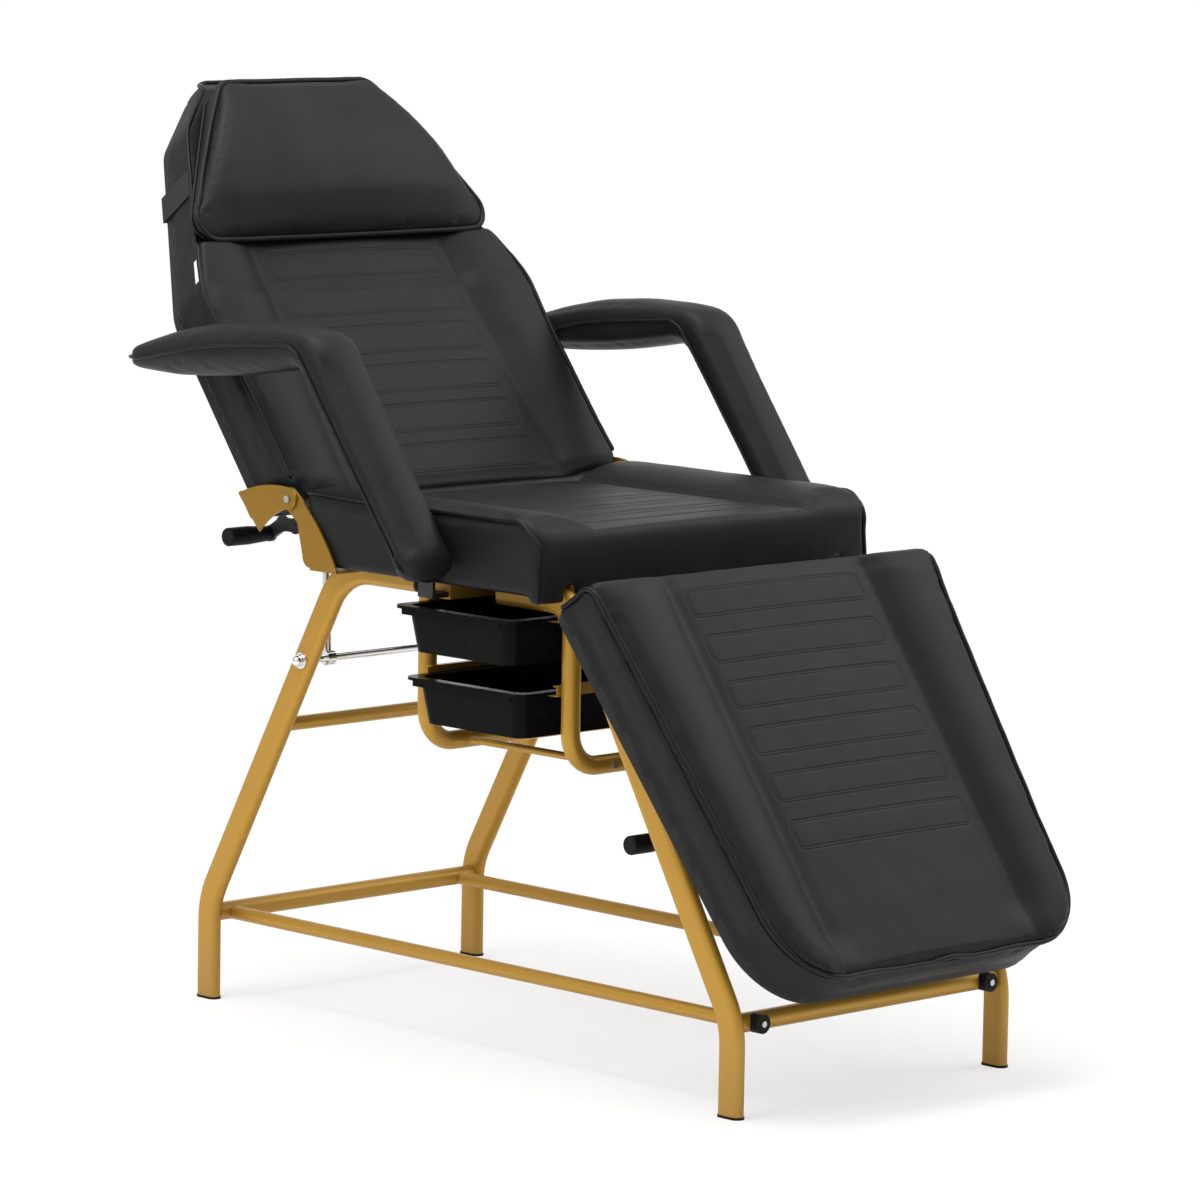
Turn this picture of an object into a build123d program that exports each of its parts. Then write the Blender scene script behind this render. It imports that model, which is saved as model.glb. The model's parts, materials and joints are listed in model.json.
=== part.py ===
from build123d import *
import os
from math import atan2, cos, degrees, hypot, radians, sin, tan

# Base frame: bent flat oval legs joined by round tubes
seat_half_x = 305.0
frame_inset = 58.0
foot_half_x = seat_half_x - frame_inset
foot_half_y = 500.0
leg_depth = 38.0
leg_width = 18.0
tube_wall = 1.5
rear_knee_z = 135.7
front_knee_z = 119.5
knee_radius = 110.0
shoulder_radius = 90.0
rear_shoulder_y = 234.0
front_shoulder_y = -209.0
stub_z = 621.0
rear_stub_end_y = 88.0
front_stub_end_y = -68.0
foot_cap_height = 3.0
foot_cap_lip = 1.0
cap_plug_length = 18.0
end_cap_length = 6.0
cross_tube_radius = 12.5
cross_tube_z = 118.0
cross_tube_y = 497.5
side_rail_radius = 9.5
side_rail_inset = 34.0
side_rail_x = foot_half_x - side_rail_inset
side_rail_z = 116.0
middle_tube_radius = 9.5
middle_tube_z = 394.0
rail_knob_radius = 12.5
rail_knob_length = 11.0
rail_bolt_radius = 4.0
rail_bolt_stand = 2.0

# Clearances
running_gap = 0.05
fit_gap = 0.02
slide_gap = 0.3
soft_gap = 0.4
overrun = 5.0

# Chrome strut bar between the rear legs
strut_bar_radius = 5.0
strut_bar_z = 488.0
strut_bar_stand = 5.0
washer_radius = 11.0
washer_thick = 2.0
nut_radius = 8.8
acorn_radius = 7.5
acorn_length = 9.0

# Tray hoops, their runners and the ties between them
hoop_radius = 12.5
hoop_side_gap = 0.2
hoop_half_x = foot_half_x - leg_width / 2 - hoop_radius - hoop_side_gap
hoop_rear_y = 92.0
hoop_front_y = -179.0
hoop_bottom_z = 400.0
hoop_bend = 46.0
runner_half_x = foot_half_x - leg_width / 2
runner_sheet = 1.5
runner_height = 14.0
runner_depth = 20.0
runner_lip = 8.0
lower_runner_z = 492.0
upper_runner_z = 588.0
tie_bar_radius = 5.0
tie_bar_inset = 68.3
tie_bar_x = hoop_half_x - tie_bar_inset
screw_head_radius = 4.8
screw_head_height = 2.4
screw_slot_width = 1.2
screw_slot_length = 5.0
screw_slot_depth = 1.2

# Trays
tray_length = 360.0
tray_depth = 61.0
tray_rim = 12.0
tray_rim_thick = 4.0
tray_rim_gap = 11.0
tray_lip_drop = 7.0
tray_draft = 8.0
tray_wall = 2.5
tray_corner = 18.0
upper_tray_front_x = -313.0
lower_tray_front_x = -292.0

# Seat
seat_front_y = -199.0
seat_rear_y = 250.0
seat_edge_z = 724.0
seat_skirt_z = 627.0
seat_front_drop = 8.0
seat_corner = 16.0
seat_roll = 110.0
seat_roll_rise = 3.0
seat_valley = 16.0
seat_crown = 1.5
seat_front_round = 36.0
side_draw = 3.0
board_thick = 15.0
board_inset = 20.0
front_skirt_thick = 7.0

# Backrest: its hinge line, slope and pad
back_hinge_y = 274.0
back_hinge_z = 712.0
back_angle = 52.4
back_gap = 14.0
back_lift = 8.0
back_length = 668.0
back_side_inset = 4.0
back_taper_inset = 115.0
back_head_inset = 204.0
back_half_x = seat_half_x - back_side_inset
back_shoulder = 306.0
back_taper_half_x = back_half_x - back_taper_inset
back_taper_at = 576.0
back_head_half_x = back_half_x - back_head_inset
back_shoulder_round = 90.0
back_taper_round = 70.0
back_head_round = 40.0
back_head_slope = 26.0
back_depth = 72.0
back_head_depth = 60.0
back_board_thick = 12.0
back_board_inset = 3.0
back_roll = 103.0
back_head_roll = 147.0
back_roll_rise = 8.0
back_valley = 7.0
back_crown = 4.5
back_foot_reach = 18.0
back_foot_depth = 32.0
back_foot_inset = 14.0
back_foot_round = 18.0
pillow_seat_drop = 8.0

# Pillow
pillow_start = 388.0
pillow_length = 230.0
pillow_inset = 17.0
pillow_taper = 149.0
pillow_half_x = back_half_x - pillow_inset
pillow_top_half_x = pillow_half_x - pillow_taper
pillow_corner = 26.0
pillow_low_edge = 6.0
pillow_mid_edge = 20.0
pillow_top_edge = 38.0
pillow_low_crown = 12.0
pillow_mid_crown = 30.0
pillow_top_crown = 8.0
pillow_step_gap = 2.0
strap_width = 40.0
strap_thick = 2.0
strap_at = 470.0

# Leg rest: its hinge line, slope and pad
leg_hinge_y = -205.0
leg_hinge_z = 612.0
leg_angle = 54.5
leg_gap = 12.5
leg_lift = 105.0
leg_length = 580.0
leg_side_grow = 9.0
leg_taper = 43.0
leg_half_x = seat_half_x + leg_side_grow
leg_end_half_x = leg_half_x - leg_taper
leg_corner = 110.0
leg_top_corner = 18.0
leg_pad_depth = 69.0
leg_board_thick = 12.0
leg_board_inset = 3.0
leg_groove_inset = 132.0
leg_groove_x = leg_half_x - leg_groove_inset
leg_roll_rise = 9.0
leg_valley = 7.0
leg_crown = 4.5
leg_top_round = 22.0

# Hinge plates at the sides of seat and back
plate_thick = 3.0
plate_gap = 0.5
plate_reach = 100.0
plate_low_reach = 75.0
plate_top_bow = 53.7
plate_low_bow = 36.4
plate_top_angle = -0.6
plate_top_bow_angle = 14.6
plate_low_angle = -40.6
plate_low_bow_angle = -40.8
plate_edge_angle = 95.0
plate_root_angle = 212.4
plate_low_edge_angle = -67.6
plate_foot_back = 93.0
seat_plate_drop = 88.0
seat_plate_width = 67.0
seat_plate_bow = 52.0
seat_plate_bow_angle = 205.8
plate_flange = 24.0
pivot_boss = 15.0
pivot_round_share = 0.707
pivot_bolt_radius = 3.0
pivot_head_radius = 4.8
pivot_head_height = 3.0
pivot_nut_radius = 6.5
pivot_nut_length = 5.0
pivot_head_gap = 0.3

# Leg rest hinges under the seat
leaf_inset = 97.0
leaf_x = foot_half_x - leaf_inset
leaf_half_width = 20.0
leaf_thick = 3.0
leaf_length = 42.0
knuckle_radius = 7.0
knuckle_gap = 0.4
leg_pin_radius = 3.5

# Locking rods, collars, levers and grips
rod_radius = 5.0
rod_eye_radius = 10.0
rod_eye_half_width = 7.0
collar_bore = 11.0
collar_radius = 13.5
collar_half_length = 11.0
trunnion_radius = 4.0
cheek_gap = 0.5
cheek_thick = 3.0
cheek_boss = 12.0
cheek_web = 3.0
lever_thick = 6.0
lever_pin_radius = 3.0
lever_boss = 11.0
lever_web_half = 9.0
grip_radius = 12.5
grip_neck_radius = 10.0
grip_length = 74.0
grip_stem_radius = 5.0
grip_stem_share = 0.6
back_rod_inset = 39.0
back_rod_x = back_rod_inset - foot_half_x
back_rod_length = 195.5
back_trunnion_y = 316.5
back_trunnion_z = 670.5
back_lever_pin_y = 351.0
back_lever_pin_z = 662.8
back_lever_knee_y = 378.0
back_lever_knee_z = 663.5
back_grip_y = 404.0
back_grip_z = 648.0
back_bracket_reach = 62.0
leg_rod_inset = 147.0
leg_rod_x = leg_rod_inset - foot_half_x
leg_rod_length = 214.0
leg_rod_top_y = -226.0
leg_rod_top_z = 572.0
leg_trunnion_y = -220.0
leg_trunnion_z = 400.0
leg_lever_pin_y = -224.0
leg_lever_pin_z = 378.0
leg_lever_knee_y = -262.0
leg_lever_knee_z = 344.0
leg_grip_y = -304.0
leg_grip_z = 318.0
leg_grip_inset = 7.0
leg_grip_end_x = leg_grip_inset - foot_half_x
leg_bracket_half_z = 11.0
leg_bracket_reach = 62.0

# Armrests: bent pads on brackets that plug into sockets under the seat
arm_half_width = 39.5
arm_side_gap = 8.0
arm_centre_x = seat_half_x + arm_side_gap + arm_half_width
arm_edge_round = 13.0
arm_corner_round = 14.0
arm_foot_y = -14.0
arm_foot_z = 660.0
arm_reach = 555.0
arm_tip_round = 34.0
arm_end_share = 0.965
arm_tip_shares = ((0.94, 0.757), (0.965, 0.80), (0.94, 0.848))
arm_top_shares = ((0.65, 0.979), (0.322, 1.0), (0.280, 0.965), (0.245, 0.885))
arm_foot_shares = ((-0.056, 0.064), (-0.047, -0.07), (0.0, 0.0))
arm_under_shares = ((0.314, 0.805), (0.342, 0.848), (0.378, 0.851), (0.69, 0.77))
arm_rise = 282.0
bracket_thick = 5.0
bracket_half_width = 14.0
bracket_y = 4.0
bracket_top_z = 716.0
tongue_z = 609.0
tongue_thick = 6.0
tongue_reach = 140.0
tongue_end_x = seat_half_x - tongue_reach
socket_reach = 155.0
socket_end_x = seat_half_x - socket_reach
socket_wall = 3.0

# Care tag sewn into the side seam of the backrest
tag_length = 38.0
tag_width = 14.0
tag_thick = 0.6
tag_at = 347.0


def block(x0, x1, y0, y1, z0, z1):
    """A box between two corners."""
    centre = Pos((x0 + x1) / 2, (y0 + y1) / 2, (z0 + z1) / 2)
    return centre * Box(x1 - x0, y1 - y0, z1 - z0)


def round_x(radius, x0, x1, y, z):
    """A round bar along X."""
    return Pos((x0 + x1) / 2, y, z) * Rot(0, 90, 0) * Cylinder(radius, abs(x1 - x0))


def round_y(radius, y0, y1, x, z):
    """A round bar along Y."""
    return Pos(x, (y0 + y1) / 2, z) * Rot(90, 0, 0) * Cylinder(radius, abs(y1 - y0))


def round_z(radius, z0, z1, x, y):
    """A round bar along Z."""
    return Pos(x, y, (z0 + z1) / 2) * Cylinder(radius, abs(z1 - z0))


def bar_between(radius, x, start, end):
    """A round bar at one x, between two (y, z) points."""
    run = hypot(end[0] - start[0], end[1] - start[1])
    tilt = degrees(atan2(end[0] - start[0], end[1] - start[1]))
    centre = Pos(x, (start[0] + end[0]) / 2, (start[1] + end[1]) / 2)
    return centre * Rot(-tilt, 0, 0) * Cylinder(radius, run)


def side_plate(edges, x0, x1):
    """A plate cut to a side outline drawn at x0, as thick as x1 - x0."""
    return extrude(make_face(Wire(edges)), amount=abs(x1 - x0), dir=(1 if x1 > x0 else -1, 0, 0))


def polygon_edges(x, points):
    """The straight edges of a closed side outline."""
    corners = [(x, y, z) for y, z in points]
    return Polyline(*corners, corners[0]).edges()


def swept_tube(points, radii, outer, inner):
    """A bent tube: outer and inner sections swept along one path."""
    path = FilletPolyline(*points, radius=radii)
    start = Plane(origin=path @ 0, x_dir=(1, 0, 0), z_dir=path % 0)
    return sweep(start * outer, path=path) - sweep(start * inner, path=path)


def leg_section(grow):
    """The flat oval leg section, its long side in the plane of the bend."""
    return Rot(0, 0, 90) * SlotOverall(leg_depth + 2 * grow, leg_width + 2 * grow)


def leg(side, foot_y, knee_z, shoulder_y, end_y):
    """One leg: foot upright, knee, slope, shoulder and level stub."""
    x = side * foot_half_x
    points = [
        (x, foot_y, foot_cap_height),
        (x, foot_y, knee_z),
        (x, shoulder_y, stub_z),
        (x, end_y, stub_z),
    ]
    tube = swept_tube(points, (knee_radius, shoulder_radius), leg_section(0), leg_section(-tube_wall))
    return tube


def rear_leg(side):
    """A rear leg, drilled for the strut bar."""
    hole = round_x(
        strut_bar_radius + running_gap,
        side * (foot_half_x - leg_width),
        side * (foot_half_x + leg_width),
        strut_bar_y(),
        strut_bar_z,
    )
    return leg(side, foot_half_y, rear_knee_z, rear_shoulder_y, rear_stub_end_y) - hole


def front_leg(side):
    """A front leg, its stub closed by an end wall."""
    tube = leg(side, -foot_half_y, front_knee_z, front_shoulder_y, front_stub_end_y)
    face = Plane(
        origin=(side * foot_half_x, front_stub_end_y, stub_z), x_dir=(1, 0, 0), z_dir=(0, -1, 0)
    )
    return tube + extrude(face * leg_section(-tube_wall / 2), amount=tube_wall)


def rear_leg_y(z):
    """Where the slope of a rear leg stands at height z."""
    share = (z - rear_knee_z) / (stub_z - rear_knee_z)
    return foot_half_y + share * (rear_shoulder_y - foot_half_y)


def strut_bar_y():
    return rear_leg_y(strut_bar_z)


def foot_caps():
    """Black plastic caps under the four feet, plugged into the tubes."""
    caps = []
    for side in (-1, 1):
        for end in (-1, 1):
            spot = Pos(side * foot_half_x, end * foot_half_y, 0)
            sole = extrude(leg_section(foot_cap_lip), amount=foot_cap_height)
            plug_section = leg_section(-tube_wall - running_gap)
            plug = extrude(plug_section, amount=foot_cap_height + cap_plug_length)
            caps.append(spot * (sole + plug))
    return Compound(children=caps)


def stub_end_caps():
    """Black plastic caps that close the stubs of the rear legs."""
    caps = []
    for side in (-1, 1):
        face = Plane(
            origin=(side * foot_half_x, rear_stub_end_y, stub_z), x_dir=(1, 0, 0), z_dir=(0, -1, 0)
        )
        cap = extrude(face * leg_section(0), amount=end_cap_length)
        plug = extrude(face * leg_section(-tube_wall - running_gap), amount=-cap_plug_length)
        caps.append(cap + plug)
    return Compound(children=caps)


def cross_tube(radius, y, z):
    """A round tube between the inner faces of a pair of legs."""
    reach = foot_half_x - leg_width / 2
    return round_x(radius, -reach, reach, y, z) - round_x(radius - tube_wall, -reach, reach, y, z)


def side_rail(side):
    """A long rail, coped onto the cross tubes at both ends."""
    x = side * side_rail_x
    rail = round_y(side_rail_radius, -cross_tube_y, cross_tube_y, x, side_rail_z)
    rail -= round_y(side_rail_radius - tube_wall, -cross_tube_y, cross_tube_y, x, side_rail_z)
    for end in (-1, 1):
        rail -= round_x(
            cross_tube_radius, x - leg_depth, x + leg_depth, end * cross_tube_y, cross_tube_z
        )
    return rail


def rail_knobs():
    """Black caps on the front cross tube, one at each long rail."""
    knobs = []
    for side in (-1, 1):
        x = side * side_rail_x
        start = -cross_tube_y - cross_tube_radius
        knob = round_y(rail_knob_radius, start - rail_knob_length, start + overrun, x, cross_tube_z)
        knob -= round_y(rail_bolt_radius, start - rail_knob_length, start + overrun, x, cross_tube_z)
        knob -= round_x(cross_tube_radius, x - leg_depth, x + leg_depth, -cross_tube_y, cross_tube_z)
        knobs.append(knob)
    return Compound(children=knobs)


def rail_bolts():
    """Metal bolt ends in the middle of the black caps."""
    bolts = []
    for side in (-1, 1):
        x = side * side_rail_x
        start = -cross_tube_y - cross_tube_radius
        bolt = round_y(
            rail_bolt_radius, start - rail_knob_length - rail_bolt_stand, start + overrun, x, cross_tube_z
        )
        bolt -= round_x(cross_tube_radius, x - leg_depth, x + leg_depth, -cross_tube_y, cross_tube_z)
        bolts.append(bolt)
    return Compound(children=bolts)


def strut_bar():
    """The bright bar through both rear legs."""
    reach = foot_half_x + leg_width / 2 + strut_bar_stand
    return round_x(strut_bar_radius, -reach, reach, strut_bar_y(), strut_bar_z)


def strut_bar_nuts():
    """A washer and a domed nut on each end of the bar."""
    y, z = strut_bar_y(), strut_bar_z
    face = foot_half_x + leg_width / 2
    dome_x = face + washer_thick + acorn_length / 2
    nut = round_x(washer_radius, face, face + washer_thick, y, z)
    nut += round_x(nut_radius, face, dome_x, y, z)
    nut += Pos(dome_x, y, z) * Sphere(acorn_radius)
    nut -= round_x(strut_bar_radius, face - acorn_length, face + strut_bar_stand, y, z)
    return Compound(children=[nut, mirror(nut, about=Plane.YZ)])


def board_z():
    """The underside of the seat board, on top of the stubs."""
    return stub_z + leg_depth / 2


def tray_hoop(y):
    """A bent tube that hangs from the seat board and carries the runners."""
    points = [
        (-hoop_half_x, y, board_z()),
        (-hoop_half_x, y, hoop_bottom_z),
        (hoop_half_x, y, hoop_bottom_z),
        (hoop_half_x, y, board_z()),
    ]
    outer = Circle(hoop_radius)
    inner = Circle(hoop_radius - tube_wall)
    return swept_tube(points, (hoop_bend, hoop_bend), outer, inner)


def runner(end, z):
    """A folded channel along X inside a hoop; end is -1 in front, 1 behind."""
    web_y = hoop_front_y + hoop_radius if end < 0 else hoop_rear_y - hoop_radius
    inward = -end
    low, high = z, z + runner_height

    def strip(depth, z0, z1):
        y0, y1 = sorted((web_y, web_y + inward * depth))
        return block(-runner_half_x, runner_half_x, y0, y1, z0, z1)

    channel = strip(runner_sheet, low, high)
    channel += strip(runner_depth, low, low + runner_sheet)
    channel += strip(runner_lip, high - runner_sheet, high)
    return channel


def tie_bars():
    """Two short bars that join the bottoms of the hoops."""
    bars = []
    for side in (-1, 1):
        bar = round_y(tie_bar_radius, hoop_front_y, hoop_rear_y, side * tie_bar_x, hoop_bottom_z)
        for y in (hoop_front_y, hoop_rear_y):
            bar -= round_x(hoop_radius + fit_gap, -hoop_half_x, hoop_half_x, y, hoop_bottom_z)
        bars.append(bar)
    return Compound(children=bars)


def tie_bar_screws():
    """Pan head screws that hold the tie bars, with crossed slots."""
    screws = []
    for side in (-1, 1):
        for y, out in ((hoop_front_y, -1), (hoop_rear_y, 1)):
            x = side * tie_bar_x
            face = y + out * hoop_radius
            top = face + out * screw_head_height
            head = round_y(screw_head_radius, y, top, x, hoop_bottom_z)
            head -= round_x(hoop_radius, -hoop_half_x, hoop_half_x, y, hoop_bottom_z)
            y0, y1 = sorted((top - out * screw_slot_depth, top + out * overrun))
            half, arm = screw_slot_width / 2, screw_slot_length / 2
            head -= block(x - half, x + half, y0, y1, hoop_bottom_z - arm, hoop_bottom_z + arm)
            head -= block(x - arm, x + arm, y0, y1, hoop_bottom_z - half, hoop_bottom_z + half)
            screws.append(head)
    return Compound(children=screws)


def tray(front_x, runner_z):
    """A tray with tapered walls, a flat rim and a lip turned down at each end."""
    front_y = hoop_front_y + hoop_radius + tray_rim_gap
    rear_y = hoop_rear_y - hoop_radius - tray_rim_gap
    middle = Pos(front_x + tray_length / 2, (front_y + rear_y) / 2, 0)
    width = rear_y - front_y
    rim_z = runner_z + runner_sheet + slide_gap
    top = Plane.XY.offset(rim_z)
    bottom = Plane.XY.offset(rim_z + tray_rim_thick - tray_depth)
    top_size = (tray_length - 2 * tray_rim, width - 2 * tray_rim)
    low_size = (top_size[0] - 2 * tray_draft, top_size[1] - 2 * tray_draft)
    body = loft([
        bottom * RectangleRounded(low_size[0], low_size[1], tray_corner),
        top * RectangleRounded(top_size[0], top_size[1], tray_corner),
    ])
    rim = top * RectangleRounded(tray_length, width, tray_corner)
    body += extrude(rim, amount=tray_rim_thick)
    for end in (-1, 1):
        x0, x1 = sorted((end * tray_length / 2, end * (tray_length / 2 - tray_wall)))
        half = width / 2 - runner_depth
        body += block(x0, x1, -half, half, rim_z - tray_lip_drop, rim_z + tray_rim_thick)
    floor = Plane.XY.offset(rim_z + tray_rim_thick - tray_depth + tray_wall)
    mouth = Plane.XY.offset(rim_z + tray_rim_thick)
    inner = tray_corner - tray_wall
    hollow = loft([
        floor * RectangleRounded(low_size[0] - 2 * tray_wall, low_size[1] - 2 * tray_wall, inner),
        mouth * RectangleRounded(top_size[0] - 2 * tray_wall, top_size[1] - 2 * tray_wall, inner),
    ])
    return middle * (body - hollow)


def pad_profile(y, half_x, edge, depth, roll, rise, valley, crown):
    """A pad's cross section: drawn in sides, a roll along each edge, a crowned middle."""
    base = edge - depth
    left_foot, left_edge = (-half_x, y, base), (-half_x, y, edge)
    right_foot, right_edge = (half_x, y, base), (half_x, y, edge)
    left_valley, right_valley = (roll - half_x, y, edge - valley), (half_x - roll, y, edge - valley)
    waist = half_x - side_draw
    edges = [
        ThreePointArc(left_foot, (-waist, y, (base + edge) / 2), left_edge),
        ThreePointArc(left_edge, (roll / 2 - half_x, y, edge + rise), left_valley),
        ThreePointArc(left_valley, (0, y, edge - valley + crown), right_valley),
        ThreePointArc(right_valley, (half_x - roll / 2, y, edge + rise), right_edge),
        ThreePointArc(right_edge, (waist, y, (base + edge) / 2), right_foot),
        Line(right_foot, left_foot),
    ]
    return make_face(Wire([line.edge() for line in edges]))


def edge_cutter(y, z, radius, end):
    """What rounding an upper edge along X takes away; end is -1 at the low y, 1 at the high y."""
    centre_y, centre_z = y - end * radius, z - radius
    y0, y1 = sorted((centre_y, y + end * overrun))
    corner = block(-seat_half_x - leg_half_x, seat_half_x + leg_half_x, y0, y1, centre_z, z + overrun)
    return corner - round_x(radius, -seat_half_x - leg_half_x, seat_half_x + leg_half_x, centre_y, centre_z)


def seat_outline(grow):
    """The seat's plan, from the front edge to the rear edge."""
    width = 2 * (seat_half_x + grow)
    length = seat_rear_y - seat_front_y + 2 * grow
    middle = Pos(0, (seat_front_y + seat_rear_y) / 2, 0)
    return middle * RectangleRounded(width, length, seat_corner)


def seat_pocket_front():
    """Where the hollow under the seat pad begins, just in front of the front hoop."""
    return min(seat_front_y + front_skirt_thick, hoop_front_y - hoop_radius - soft_gap)


def seat_cushion():
    """The seat pad, with a skirt that hangs round the board and the stubs."""
    low = seat_skirt_z - seat_front_drop
    profiles = [
        pad_profile(y, seat_half_x, seat_edge_z, seat_edge_z - low,
                    seat_roll, seat_roll_rise, seat_valley, seat_crown)
        for y in (seat_front_y - overrun, seat_rear_y + overrun)
    ]
    pad = loft(profiles, ruled=True) - edge_cutter(seat_front_y, seat_edge_z, seat_front_round, -1)
    pad = pad & extrude(Pos(0, 0, low - overrun) * seat_outline(0), amount=seat_edge_z)
    outer, inner = seat_half_x + overrun, seat_half_x - board_inset
    front, rear = seat_pocket_front(), seat_rear_y + overrun
    pad -= block(-outer, outer, seat_front_y + board_inset, rear, low - overrun, seat_skirt_z)
    pad -= block(-inner, inner, front, rear, low - overrun, board_z() + board_thick)
    notch = leg_width / 2 + soft_gap
    for side in (-1, 1):
        x0, x1 = side * foot_half_x - notch, side * foot_half_x + notch
        pad -= block(x0, x1, seat_front_y - overrun, front + overrun, low - overrun,
                     board_z() + soft_gap)
    return pad


def seat_board():
    """The plywood board that the seat pad is upholstered on."""
    inner = seat_half_x - board_inset - slide_gap
    return block(-inner, inner, seat_pocket_front() + slide_gap, seat_rear_y - slide_gap,
                 board_z(), board_z() + board_thick)


def back_frame():
    """Where the backrest lies: x across, y up its slope, z out of its front face."""
    t = radians(back_angle)
    y = back_hinge_y + back_gap * cos(t) - back_lift * sin(t)
    z = back_hinge_z + back_gap * sin(t) + back_lift * cos(t)
    return Pos(0, y, z) * Rot(back_angle, 0, 0)


def leg_frame():
    """Where the leg rest lies: x across, y up its slope, z out of its front face."""
    t = radians(leg_angle)
    y = leg_hinge_y - leg_gap * cos(t) - leg_lift * sin(t)
    z = leg_hinge_z - leg_gap * sin(t) + leg_lift * cos(t)
    return Pos(0, y, z) * Rot(leg_angle, 0, 0)


def back_outline(inset):
    """The backrest's plan: straight sides, shoulders and a rounded head end."""
    half, taper, head = (width - inset for width in (back_half_x, back_taper_half_x, back_head_half_x))
    top = back_length - inset
    right = [(half, back_shoulder), (taper, back_taper_at), (head, top)]
    left = [(-x, y) for x, y in reversed(right)]
    plan = Polygon((-half, inset), (half, inset), *right, *left, align=None)
    for spots, radius in ((right[0], back_shoulder_round), (right[1], back_taper_round),
                          (right[2], back_head_round)):
        pair = plan.vertices().filter_by(lambda v: abs(v.Y - spots[1]) < fit_gap)
        plan = fillet(pair, radius)
    return plan


def back_rear(y):
    """How deep the backrest pad is at a place up its slope."""
    return back_depth + (back_head_depth - back_depth) * y / back_length


def back_rear_frame():
    """Where the rear face of the backrest's board lies, sloped as the pad thins."""
    wedge = degrees(atan2(back_depth - back_head_depth, back_length))
    return back_frame() * Pos(0, 0, -back_depth) * Rot(wedge, 0, 0) * Pos(0, 0, -back_board_thick)


def back_cushion():
    """The backrest pad, flat where the pillow lies on it, its head end sloped off."""
    profiles = [
        pad_profile(y, back_half_x, 0, back_rear(y), roll, back_roll_rise, back_valley, back_crown)
        for y, roll in ((-back_foot_reach - overrun, back_roll), (back_length + overrun, back_head_roll))
    ]
    pad = loft(profiles, ruled=True)
    foot_x = back_half_x - back_foot_inset
    foot = block(-foot_x, foot_x, -back_foot_reach, overrun, -back_foot_depth, back_depth)
    pad = pad & (extrude(Pos(0, 0, -2 * back_depth) * back_outline(0), amount=4 * back_depth) + foot)
    pad -= block(-back_half_x, back_half_x, pillow_start - pillow_step_gap, back_length + overrun,
                 -pillow_seat_drop, back_depth)
    slope = side_plate(polygon_edges(-back_half_x, [
        (back_length - back_head_slope, -pillow_seat_drop),
        (back_length, -pillow_seat_drop - back_head_slope),
        (back_length + overrun, -pillow_seat_drop),
    ]), -back_half_x, back_half_x)
    return back_frame() * (pad - slope - edge_cutter(-back_foot_reach, back_roll_rise, back_foot_round, -1))


def back_board():
    """The board behind the backrest pad."""
    return back_rear_frame() * extrude(back_outline(back_board_inset), amount=back_board_thick)


def pillow_profile(y, half_x, edge, crown):
    """The pillow's cross section: a flat base, upright sides and a crowned front."""
    low = pillow_base()
    left, right = (-half_x, y, edge), (half_x, y, edge)
    edges = [
        Line((-half_x, y, low), left),
        ThreePointArc(left, (0, y, edge + crown), right),
        Line(right, (half_x, y, low)),
        Line((half_x, y, low), (-half_x, y, low)),
    ]
    return make_face(Wire([line.edge() for line in edges]))


def pillow_base():
    """The height of the pillow's base: on the strap, which lies on the backrest."""
    return strap_thick + soft_gap - pillow_seat_drop


def pillow():
    """A wedge pillow, thin below and thick at the top, with a bulging front face."""
    rows = (
        (pillow_start, pillow_half_x, pillow_low_edge, pillow_low_crown),
        (pillow_start + pillow_length / 3, pillow_half_x, pillow_mid_edge, pillow_mid_crown),
        (pillow_start + pillow_length, pillow_half_x, pillow_top_edge, pillow_top_crown),
    )
    wedge = loft([pillow_profile(y, half_x, edge, crown) for y, half_x, edge, crown in rows])
    top = pillow_start + pillow_length
    plan = Polygon((-pillow_half_x, pillow_start), (pillow_half_x, pillow_start),
                   (pillow_top_half_x, top), (-pillow_top_half_x, top), align=None)
    plan = fillet(plan.vertices(), pillow_corner)
    return back_frame() * (wedge & extrude(Pos(0, 0, -back_depth) * plan, amount=3 * back_depth))


def back_half_at(y):
    """The backrest's half width where its shoulders taper."""
    share = (y - back_shoulder) / (back_taper_at - back_shoulder)
    return back_half_x + share * (back_taper_half_x - back_half_x)


def pillow_strap():
    """A flat elastic belt round the backrest that carries the pillow."""
    rear = -back_rear(strap_at) - back_board_thick - 2 * soft_gap
    front = pillow_base() - strap_thick
    outer = Pos(0, 0, rear - strap_thick) * extrude(back_outline(-soft_gap - strap_thick),
                                                    front - rear + 2 * strap_thick)
    inner = Pos(0, 0, rear) * extrude(back_outline(-soft_gap), front - rear)
    band = block(-back_half_x - overrun, back_half_x + overrun, strap_at, strap_at + strap_width,
                 rear - overrun, front + overrun)
    return back_frame() * ((outer - inner) & band)


def care_tag():
    """A blank tag on the tapered part of the left side seam."""
    taper = degrees(atan2(back_half_x - back_taper_half_x, back_taper_at - back_shoulder))
    tag = block(-tag_thick, 0, -tag_length / 2, tag_length / 2, -tag_width, 0)
    return back_frame() * Pos(-back_half_at(tag_at), tag_at, 0) * Rot(0, 0, -taper) * tag


def leg_outline(inset):
    """The leg rest's plan: it narrows downwards to large round corners."""
    top, low = leg_half_x - inset, leg_end_half_x - inset
    plan = Polygon((-low, -leg_length + inset), (low, -leg_length + inset), (top, -inset), (-top, -inset),
                   align=None)
    lower = plan.vertices().sort_by(Axis.Y)[:2]
    plan = fillet(lower, leg_corner)
    upper = plan.vertices().sort_by(Axis.Y)[-2:]
    return fillet(upper, leg_top_corner)


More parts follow.
